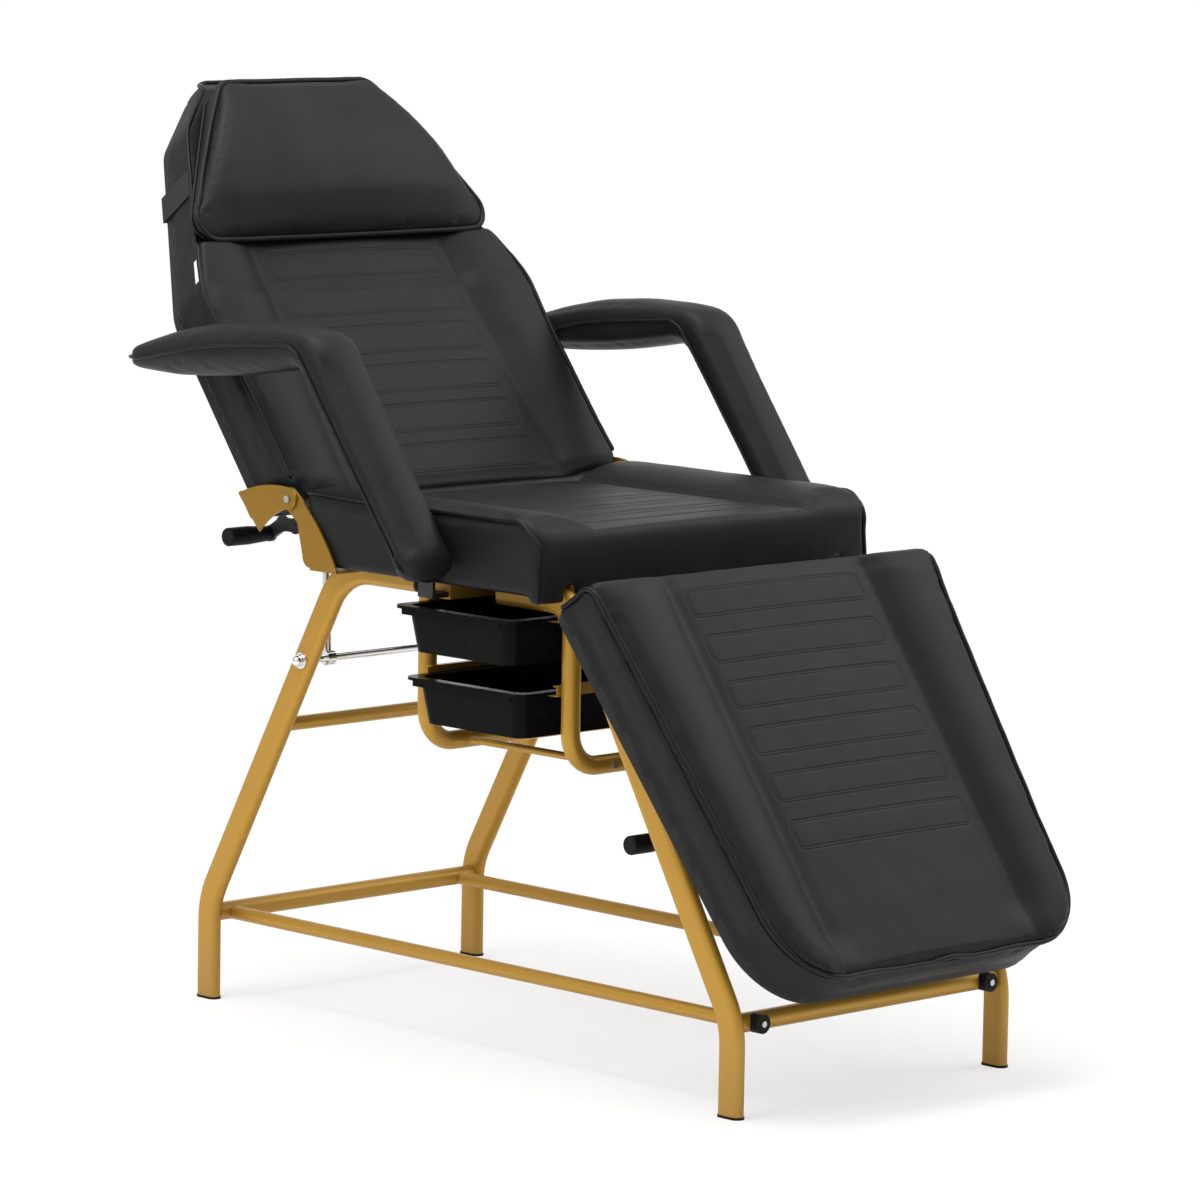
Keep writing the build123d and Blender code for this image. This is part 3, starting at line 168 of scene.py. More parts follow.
class Paint:
    """A material, or a world, being built."""

    def __init__(self, name, kind="materials"):
        self.made = getattr(bpy.data, kind).new(name)
        self.made.use_nodes = True
        self.tree = self.made.node_tree
        self.tree.nodes.clear()

    def add(self, kind, inputs=None, **settings):
        """Adds any node: its settings first, then the values or links of its sockets."""
        node = self.tree.nodes.new("ShaderNode" + kind)
        for key, value in settings.items():
            setattr(node, key, value)
        for key, value in (inputs or {}).items():
            socket = node.inputs[key]
            if isinstance(value, Wire):
                self.tree.links.new(value.socket, socket)
            else:
                socket.default_value = value
        return [Wire(self, output) for output in node.outputs]

    def place(self):
        """The object's own coordinates, in metres."""
        generated, normal, uv, own, *others = self.add("TexCoord")
        return own

    def seen(self):
        """1 for rays from the camera, straight or through clear things, and 0 for all other rays."""
        camera, shadow, diffuse, glossy, singular, mirrored, through, *others = self.add("LightPath")
        return (camera + through).kept()

    def parts(self, vector):
        """The three numbers of a vector."""
        return self.add("SeparateXYZ", {0: vector})

    def noise(self, vector, scale, detail=2.0, roughness=0.5):
        """Cloudy noise from 0 to 1."""
        sockets = {"Vector": vector, "Scale": scale, "Detail": detail, "Roughness": roughness}
        return self.add("TexNoise", sockets)[0]

    def cells(self, vector, scale):
        """Distance to the nearest of many scattered points."""
        return self.add("TexVoronoi", {"Vector": vector, "Scale": scale}, feature="F1")[0]

    def mix(self, share, first, second):
        """One colour fading into another. The node's colours are its sockets 6 and 7 and its output 2."""
        first, second = (c if isinstance(c, Wire) else (*c, 1.0) for c in (first, second))
        return self.add("Mix", {0: share, 6: first, 7: second}, data_type="RGBA")[2]

    def bump(self, height, strength, distance):
        """A normal tilted by a height."""
        return self.add("Bump", {"Strength": strength, "Distance": distance, "Height": height})[0]

    def wave(self, value):
        """The sine of a value."""
        return self.add("Math", {0: value}, operation="SINE")[0]

    def shader(self, **sockets):
        """The surface, with its values and links given by socket name."""
        named = {key.replace("_", " ").title(): value for key, value in sockets.items()}
        if "Specular" in named:
            named["Specular IOR Level"] = named.pop("Specular")
        self.add("OutputMaterial", {0: self.add("BsdfPrincipled", named)[0]})
        return self.made


# Finishes

WHITE = (1.0, 1.0, 1.0, 1.0)


def shaded(shade, share):
    """A colour made darker or lighter."""
    return tuple(min(1.0, share * part) for part in shade)


def vinyl(finishes):
    """Black synthetic leather: a pebbled grain, cloudy wear and a soft sheen."""
    paint = Paint("black_vinyl")
    place = paint.place()
    cloud = paint.noise(place, scale=7.0, detail=4.0, roughness=0.6)
    grain = paint.cells(place, scale=620.0)
    creases = paint.noise(place, scale=240.0, detail=3.0, roughness=0.65)
    rubbed = cloud.ramp(0.45, 0.75)
    return paint.shader(
        base_color=paint.mix(rubbed, finishes.vinyl, finishes.vinyl_worn),
        roughness=0.47 + 0.12 * cloud - 0.06 * grain,
        specular=0.16,
        normal=paint.bump(grain * 0.7 + creases * 0.5, strength=0.28, distance=0.0005))


def piping_vinyl(finishes):
    """The same vinyl drawn tight over a cord: smoother and a little shinier. Its cord colour is darker than the
    vinyl, partly its own tone and partly painted shade along the seam.
    """
    paint = Paint("piping_vinyl")
    place = paint.place()
    cloud = paint.noise(place, scale=30.0, detail=3.0)
    grain = paint.cells(place, scale=900.0)
    return paint.shader(
        base_color=paint.mix(cloud, finishes.cord, finishes.vinyl),
        roughness=0.36 + 0.1 * cloud,
        specular=0.16,
        normal=paint.bump(grain, strength=0.18, distance=0.0003))


def powder_coat(name, shade, dirt):
    """Metallic powder coat: fine flake, faint orange peel, dust towards the floor."""
    paint = Paint(name)
    place = paint.place()
    height = paint.parts(place)[2]
    flake = paint.noise(place, scale=1400.0, detail=2.0, roughness=0.7)
    peel = paint.noise(place, scale=330.0)
    cloud = paint.noise(place, scale=9.0, detail=3.0)
    dust = (1 - height.ramp(0.0, 0.16)) * cloud * 0.35
    painted = paint.mix(flake * 0.6 + cloud * 0.4, shaded(shade, 0.82), shaded(shade, 1.08))
    return paint.shader(
        base_color=paint.mix(dust, painted, dirt),
        metallic=0.40,
        roughness=0.34 + 0.1 * cloud + 0.25 * dust,
        normal=paint.bump(peel + flake * 0.25, strength=0.10, distance=0.0003))


def polished(finishes):
    """Polished chrome with faint wiping marks."""
    paint = Paint("polished_chrome")
    marks = paint.noise(paint.place(), scale=60.0, detail=4.0, roughness=0.7)
    return paint.shader(
        base_color=paint.mix(marks * 0.3, finishes.chrome, shaded(finishes.chrome, 0.9)),
        metallic=1.0,
        roughness=0.07 + 0.09 * marks)


def plated(finishes):
    """Zinc plated steel, slightly blotched."""
    paint = Paint("zinc_plate")
    blotch = paint.noise(paint.place(), scale=180.0, detail=3.0)
    return paint.shader(
        base_color=paint.mix(blotch, shaded(finishes.zinc, 0.75), finishes.zinc),
        metallic=0.95,
        roughness=0.28 + 0.2 * blotch)


def moulded(finishes):
    """Moulded black plastic with a spark eroded texture."""
    paint = Paint("moulded_plastic")
    place = paint.place()
    texture = paint.noise(place, scale=900.0, detail=2.0, roughness=0.6)
    cloud = paint.noise(place, scale=20.0, detail=3.0)
    return paint.shader(
        base_color=paint.mix(cloud, shaded(finishes.plastic, 0.8), shaded(finishes.plastic, 1.5)),
        roughness=0.46 + 0.14 * cloud,
        specular=0.12,
        normal=paint.bump(texture, strength=0.2, distance=0.0003))


def tray_gloss(finishes):
    """Vacuum formed plastic, faintly wavy, with dust that dulls it in places."""
    paint = Paint("tray_gloss")
    place = paint.place()
    wave = paint.noise(place, scale=16.0)
    dust = paint.noise(place, scale=55.0, detail=5.0, roughness=0.7).ramp(0.5, 0.8)
    return paint.shader(
        base_color=paint.mix(dust * 0.35, finishes.tray, shaded(finishes.tray, 3.0)),
        roughness=0.27 + 0.14 * dust,
        specular=0.035,
        normal=paint.bump(wave, strength=0.12, distance=0.002))


def satin_steel(finishes):
    """Satin black painted steel."""
    paint = Paint("satin_black_steel")
    place = paint.place()
    cloud = paint.noise(place, scale=40.0, detail=3.0)
    peel = paint.noise(place, scale=500.0)
    return paint.shader(
        base_color=paint.mix(cloud, shaded(finishes.steel, 0.8), shaded(finishes.steel, 1.4)),
        metallic=0.25,
        roughness=0.36 + 0.14 * cloud,
        normal=paint.bump(peel, strength=0.12, distance=0.0003))


def board_cloth(finishes):
    """Thin dark dust cloth stapled over the boards."""
    paint = Paint("board_cloth")
    fibre = paint.noise(paint.place(), scale=800.0, detail=3.0, roughness=0.7)
    return paint.shader(
        base_color=paint.mix(fibre, shaded(finishes.board, 0.7), shaded(finishes.board, 1.6)),
        roughness=0.85 + 0.1 * fibre,
        normal=paint.bump(fibre, strength=0.3, distance=0.0004))


def woven(name, shade, across):
    """A narrow woven ribbon: fine ribs across one axis, crossed by the warp."""
    paint = Paint(name)
    spots = paint.parts(paint.place())
    rib = paint.wave(spots[across] * 2600.0)
    warp = paint.wave(spots[2] * 3400.0)
    weave = (rib * warp * 0.5 + 0.5).kept()
    return paint.shader(
        base_color=paint.mix(weave, shaded(shade, 0.8), shade),
        roughness=0.72 + 0.14 * weave,
        normal=paint.bump(weave, strength=0.35, distance=0.0003))


def floor_paint(stage):
    """A pale floor that keeps the chair's shadow and fades to white further out."""
    paint = Paint("pale_floor")
    spots = paint.parts(paint.place())
    away = (spots[0] * spots[0] + spots[1] * spots[1]) ** 0.5
    cloud = paint.noise(paint.place(), scale=3.0)
    far = away.ramp(stage.clear_floor, stage.faded_floor)
    faded = (stage.veil + far * (1 - stage.veil)) * paint.seen()
    pale = paint.mix(cloud, (0.90, 0.90, 0.90), (0.93, 0.93, 0.93))
    plain = paint.add("BsdfDiffuse", {0: pale})[0]
    white = paint.add("Emission", {0: WHITE, 1: 1.0})[0]
    both = paint.add("MixShader", {0: faded, 1: plain, 2: white})[0]
    paint.add("OutputMaterial", {0: both})
    return paint.made


MAKERS = {
    "black_vinyl": vinyl,
    "piping": piping_vinyl,
    "gold_frame": lambda finishes: powder_coat("gold_paint", finishes.gold, finishes.dust),
    "gold_plate": lambda finishes: powder_coat("plate_paint", finishes.plate, finishes.dust),
    "chrome": polished,
    "zinc": plated,
    "black_plastic": moulded,
    "tray_plastic": tray_gloss,
    "black_steel": satin_steel,
    "board": board_cloth,
    "elastic": lambda finishes: woven("woven_elastic", finishes.elastic, across=0),
    "tag_cloth": lambda finishes: woven("satin_ribbon", finishes.tag, across=1),
}
made_finishes = {}


def finish(name):
    """A finish by name, made once."""
    if name not in made_finishes:
        made_finishes[name] = MAKERS[name](bpy.context.scene.chair_finishes)
    return made_finishes[name]


# Places

class Slope:
    """A pad's own axes: x across the chair, y up the pad, z out of its front face."""

    def __init__(self, origin, angle):
        self.origin = np.array(origin, float)
        c, s = math.cos(math.radians(angle)), math.sin(math.radians(angle))
        self.turn = np.array([[1.0, 0.0, 0.0], [0.0, c, -s], [0.0, s, c]])

    def out(self, points):
        """Points of the pad, in the chair's frame."""
        return np.asarray(points, float) @ self.turn.T + self.origin

    def into(self, points):
        """Points of the chair, in the pad's axes."""
        return (np.asarray(points, float) - self.origin) @ self.turn


def hinge(name):
    """Where a joint's axis is."""
    return next(joint for joint in frame["joints"] if joint["name"] == name)["pos_m"]


def middle_of_feet():
    """How far the middle of the feet is along the chair."""
    low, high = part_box("foot_caps")
    return (low[1] + high[1]) / 2


def level_slope(height):
    """Level axes over the middle of the feet."""
    return Slope((0.0, middle_of_feet(), height), 0.0)


def hinged_slope(joint, angle, along, lift):
    """Axes tilted by an angle, with their origin a way along and above the pad's hinge."""
    y, z = hinge(joint)[1:]
    c, s = math.cos(math.radians(angle)), math.sin(math.radians(angle))
    return Slope((0.0, y + along * c - lift * s, z + along * s + lift * c), angle)


def back_slope():
    """The backrest's own axes, which the pillow shares."""
    return hinged_slope("back_recline", angle=52.4, along=0.014, lift=0.008)


def leg_slope():
    """The leg rest's own axes."""
    return hinged_slope("leg_lift", angle=54.5, along=-0.0125, lift=0.105)


# Meshes

TINY = 1e-9
RING = 10                  # points round a cord
CAP_ANGLES = (60.0, 30.0)  # the rings of a half ball on a cord's end, in degrees from its rim
ARC_POINTS = 24            # points along a rounded corner
BATCH = 64                 # points of a path that are compared with a skin at once
WELD = 1e-5                # vertices of a node closer than this become one


def points_of(mesh):
    """A mesh's vertices as an array."""
    flat = np.empty(3 * len(mesh.vertices))
    mesh.vertices.foreach_get("co", flat)
    return flat.reshape(-1, 3)


def normals_of(mesh):
    """A mesh's vertex normals as an array."""
    flat = np.empty(3 * len(mesh.vertices))
    mesh.vertex_normals.foreach_get("vector", flat)
    return flat.reshape(-1, 3)


def set_points(mesh, points):
    """Writes an array back to a mesh's vertices."""
    mesh.vertices.foreach_set("co", np.ascontiguousarray(points, np.float32).ravel())
    mesh.update()


def unit(vectors):
    """Vectors scaled to length one."""
    return vectors / np.maximum(np.linalg.norm(vectors, axis=-1, keepdims=True), TINY)


def new_piece(name, vertices, faces, body, material, slot):
    """A smooth shaded object from arrays, riding on a body."""
    mesh = bpy.data.meshes.new(name)
    mesh.from_pydata([tuple(v) for v in vertices], [], [tuple(int(i) for i in f) for f in faces])
    mesh.polygons.foreach_set("use_smooth", np.ones(len(mesh.polygons), bool))
    mesh.update()
    piece = bpy.data.objects.new(name, mesh)
    bpy.context.scene.collection.objects.link(piece)
    piece.data.materials.append(finish(material))
    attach(piece, body)
    return piece


def tube_arrays(path, lift, radius, closed=False):
    """A round profile carried along a path. A ring's point is the path's point plus the radius times the
    cosine of an angle along the lift plus its sine across it; an open path ends in half balls."""
    path = np.asarray(path, float)
    ahead = np.roll(path, -1, 0) - np.roll(path, 1, 0) if closed else np.gradient(path, axis=0)
    ahead = unit(ahead)
    lift = np.broadcast_to(np.asarray(lift, float), path.shape)
    lift = unit(lift - (lift * ahead).sum(1, keepdims=True) * ahead)
    across = np.cross(ahead, lift)
    centres, sizes = path, np.full(len(path), float(radius))
    if not closed:
        caps = np.radians(CAP_ANGLES)
        first = path[0] - np.outer(np.sin(caps), ahead[0]) * radius
        last = path[-1] + np.outer(np.sin(caps[::-1]), ahead[-1]) * radius
        centres = np.vstack([first, path, last])
        sizes = np.concatenate([radius * np.cos(caps), sizes, radius * np.cos(caps[::-1])])
        lift, across = (np.pad(v, [(len(caps), len(caps)), (0, 0)], "edge") for v in (lift, across))
    turn = 2 * np.pi * np.arange(RING) / RING
    cosines, sines = np.cos(turn)[None, :, None], np.sin(turn)[None, :, None]
    rings = cosines * lift[:, None, :] + sines * across[:, None, :]
    vertices = (centres[:, None, :] + sizes[:, None, None] * rings).reshape(-1, 3)
    rows = len(centres)
    row, spot = np.meshgrid(np.arange(rows if closed else rows - 1), np.arange(RING), indexing="ij")
    here, there, after = row * RING, (row + 1) % rows * RING, (spot + 1) % RING
    squares = np.stack([here + spot, here + after, there + after, there + spot], -1)
    faces = [tuple(square) for square in squares.reshape(-1, 4)]
    if not closed:
        start, end, top = len(vertices), len(vertices) + 1, (rows - 1) * RING
        vertices = np.vstack([vertices, path[0] - ahead[0] * radius, path[-1] + ahead[-1] * radius])
        pairs = [(a, (a + 1) % RING) for a in range(RING)]
        faces += [(start, b, a) for a, b in pairs]
        faces += [(end, top + a, top + b) for a, b in pairs]
    return vertices, faces


def joined(arrays):
    """Several vertex and face arrays as one."""
    vertices, faces, count = [], [], 0
    for points, corners in arrays:
        vertices.append(points)
        faces += [tuple(int(c) + count for c in face) for face in corners]
        count += len(points)
    return np.vstack(vertices), faces


def rounded(corners, radii, step, closed=False):
    """Straight runs joined by arcs, with points an even step apart. Each arc is a turn of the vector from
    its centre between the two tangent points."""
    corners = [np.asarray(c, float) for c in corners]
    count = len(corners)
    runs = []
    for n, (corner, radius) in enumerate(zip(corners, radii)):
        if radius <= 0 or (not closed and n in (0, count - 1)):
            runs.append(corner[None, :])
            continue
        back, on = unit(corners[n - 1] - corner), unit(corners[(n + 1) % count] - corner)
        half = math.acos(float(np.clip(back @ on, -1, 1))) / 2
        reach = radius / math.tan(half)
        centre = corner + unit(back + on) * radius / math.sin(half)
        first, last = corner + back * reach - centre, corner + on * reach - centre
        sweep = math.pi - 2 * half
        share = np.linspace(0, 1, ARC_POINTS)[:, None]
        turned = np.sin((1 - share) * sweep) * first + np.sin(share * sweep) * last
        runs.append(centre + turned / math.sin(sweep))
    line = np.vstack(runs + ([runs[0][:1]] if closed else []))
    gone = np.concatenate([[0.0], np.cumsum(np.linalg.norm(np.diff(line, axis=0), axis=1))])
    many = max(3, int(round(gone[-1] / step)))
    spots = np.linspace(0, gone[-1], many + 1)[: many if closed else None]
    return np.stack([np.interp(spots, gone, line[:, a]) for a in range(line.shape[1])], 1)


def skin_over(node, name, step, passes):
    """An even skin of small squares over a copy of a node, its edges eased by a number of passes."""
    mesh = frame["nodes"][node].data.copy()
    mesh.name = name
    work = bmesh.new()
    work.from_mesh(mesh)
    bmesh.ops.remove_doubles(work, verts=work.verts, dist=WELD)
    work.to_mesh(mesh)
    work.free()
    piece = bpy.data.objects.new(name, mesh)
    bpy.context.scene.collection.objects.link(piece)
    even = piece.modifiers.new("even skin", "REMESH")
    even.mode, even.voxel_size = "VOXEL", step
    even.use_smooth_shade = True
    ease = piece.modifiers.new("ease", "SMOOTH")
    ease.factor, ease.iterations = 0.5, passes
    settle(piece)
    return piece


def settle(piece):
    """Applies a piece's modifiers."""
    seen = piece.evaluated_get(bpy.context.evaluated_depsgraph_get())
    mesh = bpy.data.meshes.new_from_object(seen)
    old = piece.data
    piece.modifiers.clear()
    piece.data = mesh
    bpy.data.meshes.remove(old)


def swell(piece, softness, free):
    """Foam pushes the closed skin out: cloth under pressure, with each point held to a longest move, and
    held still where free is 0."""
    steps = softness.swell_steps
    start = points_of(piece.data)
    cloth = piece.modifiers.new("foam", "CLOTH")
    rules = cloth.settings
    rules.quality = 3
    rules.use_pressure = True
    rules.uniform_pressure_force = softness.pressure
    rules.effector_weights.gravity = 0.0
    cloth.collision_settings.use_collision = False
    cloth.point_cache.frame_start, cloth.point_cache.frame_end = 1, steps
    scene = bpy.context.scene
    for step in range(1, steps + 1):
        scene.frame_set(step)
    seen = piece.evaluated_get(bpy.context.evaluated_depsgraph_get())
    move = points_of(seen.data) - start
    piece.modifiers.remove(cloth)
    scene.frame_set(1)
    far = np.linalg.norm(move, axis=1, keepdims=True)
    move *= np.minimum(1.0, softness.swell / np.maximum(far, TINY)) * free[:, None]
    set_points(piece.data, start + move)


def refine(piece, wanted):
    """Splits each face of the wanted vertices into four."""
    work = bmesh.new()
    work.from_mesh(piece.data)
    work.verts.ensure_lookup_table()
    chosen = [e for e in work.edges if wanted[e.verts[0].index] and wanted[e.verts[1].index]]
    bmesh.ops.subdivide_edges(work, edges=chosen, cuts=1, use_grid_fill=True, smooth=0.0)
    work.to_mesh(piece.data)
    work.free()
    piece.data.polygons.foreach_set("use_smooth", np.ones(len(piece.data.polygons), bool))


def smooth_step(values, low, high):
    """0 below low, 1 above high, smooth between."""
    share = np.clip((values - low) / (high - low), 0, 1)
    return share * share * (3 - 2 * share)


def hump(values, width):
    """A bell: 1 at 0, fading within the width."""
    return np.exp(-(values / width) ** 2)


def facing_front(normals):
    """1 where a pad's skin faces out of its front, 0 where it faces aside."""
    return smooth_step(normals[:, 2], 0.3, 0.7)


def facing_aside(normals):
    """1 where a pad's skin faces aside, 0 on its front and back."""
    return 1 - smooth_step(np.abs(normals[:, 2]), 0.4, 0.8)


def slack(x, y, seed, height, longest=0.16, waves=7):
    """Gentle unevenness of a skin over foam: a sum of waves in seeded directions."""
    rng = np.random.default_rng(seed)
    total = np.zeros(len(x))
    for _ in range(waves):
        angle, phase = rng.uniform(0, np.pi), rng.uniform(0, 2 * np.pi)
        wave = longest * rng.uniform(0.3, 1.0)
        total += np.sin((x * np.cos(angle) + y * np.sin(angle)) * 2 * np.pi / wave + phase)
    return height * total / waves


def gathers(along, away, seed, height, pitch, reach, shifts=60, heights=90):
    """Small folds that a seam gathers: ridges across the seam that fade away from it, shifted and uneven in
    height by random values at a number of places along it."""
    rng = np.random.default_rng(seed)
    shift = np.interp(along, np.linspace(-1, 1, shifts), rng.uniform(-0.5, 0.5, shifts) * pitch)
    tall = np.interp(along, np.linspace(-1, 1, heights), rng.uniform(0.1, 1.0, heights))
    return height * tall * np.sin((along + shift) * 2 * np.pi / pitch) * np.exp(-np.abs(away) / reach)


def snug(path, piece, radius, bury=0.40, wide=9):
    """Moves a path onto a piece's skin: each point takes the offset to its nearest vertex, averaged over a
    few points along the path, and then stands out along the normal with part of the radius buried."""
    points, normals = points_of(piece.data), normals_of(piece.data)
    near = np.empty(len(path), int)
    for start in range(0, len(path), BATCH):
        gap = path[start:start + BATCH, None, :] - points[None, :, :]
        near[start:start + BATCH] = (gap * gap).sum(2).argmin(1)
    move, out = points[near] - path, normals[near]
    share = np.ones(wide) / wide
    ends = [(wide // 2, wide // 2), (0, 0)]
    move, out = (np.stack([np.convolve(column, share, "valid") for column in np.pad(v, ends, "edge").T], 1)
                 for v in (move, out))
    return path + move + unit(out) * radius * (1 - bury), unit(out)


def piping(name, paths, pad, body, radius, closed=False):
    """Covered cord laid along a pad's edges."""
    arrays = []
    for path in paths:
        line, out = snug(path, pad, radius)
        arrays.append(tube_arrays(line, out, radius, closed))
    return new_piece(name, *joined(arrays), body, "piping", "black_vinyl")


def dress_pad(node, name, body, slope, softness, free, shape, panels=None, step=None, passes=5):
    """A pad in one go: an even skin, the foam's swell, finer squares where it is pressed, then its shape."""
    piece = skin_over(node, name, step or softness.skin_step, passes)
    swell(piece, softness, free(slope.into(points_of(piece.data))))
    for wanted in (panels.middle, panels.near) if panels else ():
        refine(piece, wanted(slope.into(points_of(piece.data))))
    points = points_of(piece.data)
    normals = normals_of(piece.data)
    move = shape(slope.into(points), normals @ slope.turn)
    set_points(piece.data, points + normals * move[:, None])
    piece.data.materials.clear()
    piece.data.materials.append(finish("black_vinyl"))
    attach(piece, body)
    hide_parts(node)
    return piece


# The pads

FRONT_LAYER = -0.03  # a pad's front face, with its panels, lies above this


class Panels:
    """Pressed panels: equal rounded rectangles in a row along a pad, on a skin with finer squares."""
    count = 6
    rise = 0.010           # how soon a panel reaches its full puff
    inner_line = 0.75      # depth of the second line, where the first is 1
    lines_middle = 0.0018  # from a panel's edge to the middle of its two lines
    lines_reach = 0.0068   # how far from there the skin needs the finest squares

    def __init__(self, first, pitch, half_x, half_y, corner,
                 fine_half, fine_from=-np.inf, fine_to=np.inf, lines_to=np.inf):
        self.centres = first + pitch * np.arange(self.count)
        self.half_x, self.half_y, self.corner = half_x, half_y, corner
        self.fine_half, self.fine_from, self.fine_to, self.lines_to = fine_half, fine_from, fine_to, lines_to

    def edge(self, x, y):
        """Distance to the nearest panel's edge, below 0 inside it."""
        best = np.full(len(x), np.inf)
        across = np.abs(x) - (self.half_x - self.corner)
        for centre in self.centres:
            along = np.abs(y - centre) - (self.half_y - self.corner)
            outside = np.hypot(np.maximum(across, 0), np.maximum(along, 0))
            best = np.minimum(best, outside + np.minimum(np.maximum(across, along), 0) - self.corner)
        return best

    def pressed(self, x, y, softness):
        """Each panel rises a little from its edge like one minus an exponential, and a double line round it
        sinks as two narrow bells."""
        edge = self.edge(x, y)
        puff = softness.puff * np.where(edge < 0, 1 - np.exp(np.minimum(edge, 0) / self.rise), 0)
        inner = hump(edge + softness.line_gap, softness.line_width)
        return puff - softness.line_depth * (hump(edge, softness.line_width) + self.inner_line * inner)

    def middle(self, p):
        """The part of a pad's front that gets finer squares."""
        x, y, z = p.T
        return (np.abs(x) < self.fine_half) & (y > self.fine_from) & (y < self.fine_to) & (z > FRONT_LAYER)

    def near(self, p):
        """The part close to a panel's lines, which gets the finest squares."""
        x, y, z = p.T
        off = np.abs(self.edge(x, y) + self.lines_middle)
        return (off < self.lines_reach) & (y < self.lines_to) & (z > FRONT_LAYER)


SEAT = Plan(edge=0.724, half=0.305, foot=-0.098, nose=-0.185, rear=0.243,
            sunken_half=0.287, flank=0.29, groove=0.197, groove_depth=0.0020,
            panels=Panels(first=-0.118, pitch=0.0650, half_x=0.162, half_y=0.0225, corner=0.020,
                          fine_half=0.182, fine_from=-0.152))


class CHAIR_OT_seat(bpy.types.Operator):
    """Dress the seat: side rolls beside a sunken middle with pressed panels across it"""
    bl_idname = "chair.seat"
    bl_label = "Seat pad"

    def execute(self, context):
        softness, slope = context.scene.chair_softness, level_slope(SEAT.edge)

        def free(p):
            """The rolls swell. The sunken middle, the foot and the rear edge, by the backrest, stay."""
            x, y, z = p.T
            sunken = (np.abs(x) < SEAT.sunken_half) & (z < -0.012)
            return smooth_step(z, -0.09, -0.03) * ~sunken * (1 - smooth_step(y, 0.235, 0.247))

        def shape(p, n):
            """Grooves beside the rolls, pressed panels, and gathers at the foot of the front and flanks."""
            x, y, z = p.T
            top = facing_front(n) * (z > FRONT_LAYER)
            side = facing_aside(n) * (np.abs(x) > SEAT.flank)
            front = (n[:, 1] < -0.5) * (y < SEAT.nose)
            groove = -SEAT.groove_depth * hump(np.abs(x) - SEAT.groove, width=0.010)
            groove = groove * smooth_step(y, SEAT.nose, -0.150)
            panels = SEAT.panels.pressed(x, y, softness)
            waves = slack(x, y, seed=3, height=0.0008)
            above = z - SEAT.foot
            pull = gathers(x, above, seed=9, height=0.0007, pitch=0.030, reach=0.022) * front
            low = gathers(y, above, seed=11, height=0.0009, pitch=0.034, reach=0.020) * side
            low = low * (1 - smooth_step(y, -0.12, 0.0))
            return top * (groove + panels + waves) + pull + low + side * slack(y, z, seed=21, height=0.0009)

        seat = dress_pad("seat_cushion", "seat_pad", "frame", slope, softness, free, shape, SEAT.panels)
        paths = []
        for side in (-1, 1):
            edge = side * SEAT.half
            run = [(edge, SEAT.rear, 0.0), (edge, -0.163, 0.0), (side * 0.301, -0.1955, -0.030),
                   (side * 0.3005, -0.1955, -0.100)]
            paths.append(slope.out(rounded(run, [0, 0.035, 0.030, 0], step=0.004)))
        piping("seat_piping", paths, seat, "frame", softness.piping)
        return {"FINISHED"}


BACK = Plan(half=0.301, foot=0.016, shoulder=0.306, taper=0.186, taper_at=0.576, head=0.097, long=0.668,
            groove=0.198, groove_lean=0.065, groove_depth=0.0022,
            panels=Panels(first=0.026, pitch=0.0640, half_x=0.160, half_y=0.0225, corner=0.013,
                          fine_half=0.178, fine_to=0.392, lines_to=0.388))


def back_outline():
    """The backrest's plan up the left side, round the head and down the right."""
    left = [(-BACK.half, BACK.foot), (-BACK.half, BACK.shoulder), (-BACK.taper, BACK.taper_at),
            (-BACK.head, BACK.long)]
    right = [(-x, y) for x, y in reversed(left)]
    return rounded(left + right, [0, 0.09, 0.07, 0.04, 0.04, 0.07, 0.09, 0], step=0.005)


class CHAIR_OT_backrest(bpy.types.Operator):
    """Dress the backrest: bolsters down both sides and pressed panels between them"""
    bl_idname = "chair.backrest"
    bl_label = "Backrest pad"

    def execute(self, context):
        softness, slope = context.scene.chair_softness, back_slope()

        def free(p):
            """The front swells up to the tag. The foot, the head and the board's side stay."""
            x, y, z = p.T
            return smooth_step(z, -0.058, -0.03) * (1 - smooth_step(y, 0.295, 0.322)) \
                * smooth_step(y, -0.010, 0.005)

        def shape(p, n):
            """Grooves that lean in beside the bolsters, and pressed panels up to the pillow."""
            x, y, z = p.T
            top = facing_front(n) * (1 - smooth_step(y, 0.370, 0.384))
            side = facing_aside(n) * smooth_step(z, -0.06, -0.045)
            off = np.abs(x) - (BACK.groove - BACK.groove_lean * y)
            groove = -BACK.groove_depth * hump(off, width=0.016) * smooth_step(y, -0.010, 0.03)
            panels = BACK.panels.pressed(x, y, softness)
            waves = slack(x, y, seed=13, height=0.0007)
            return top * (groove + panels + waves) + side * slack(y, z, seed=23, height=0.0006, longest=0.09)

        back = dress_pad("back_cushion", "back_pad", "backrest", slope, softness, free, shape, BACK.panels)
        line = back_outline()
        y = line[:, 1]
        under_pillow, over_head = smooth_step(y, 0.378, 0.392), smooth_step(y, 0.640, BACK.long)
        front = slope.out(np.column_stack([line, -0.008 * under_pillow - 0.026 * over_head]))
        piping("back_piping", [front], back, "backrest", softness.piping)
        return {"FINISHED"}


LEG = Plan(rear_half=0.314, rear=-0.001, front_half=0.271, front=-0.580, deep=0.064,
           groove=0.182, groove_depth=0.0024, roll=0.178, roll_height=0.0050,
           seam_depth=0.009, seam_radius=0.0010,
           panels=Panels(first=-0.048, pitch=-0.0668, half_x=0.160, half_y=0.0205, corner=0.011,
                         fine_half=0.176, fine_from=-0.422, fine_to=-0.016))


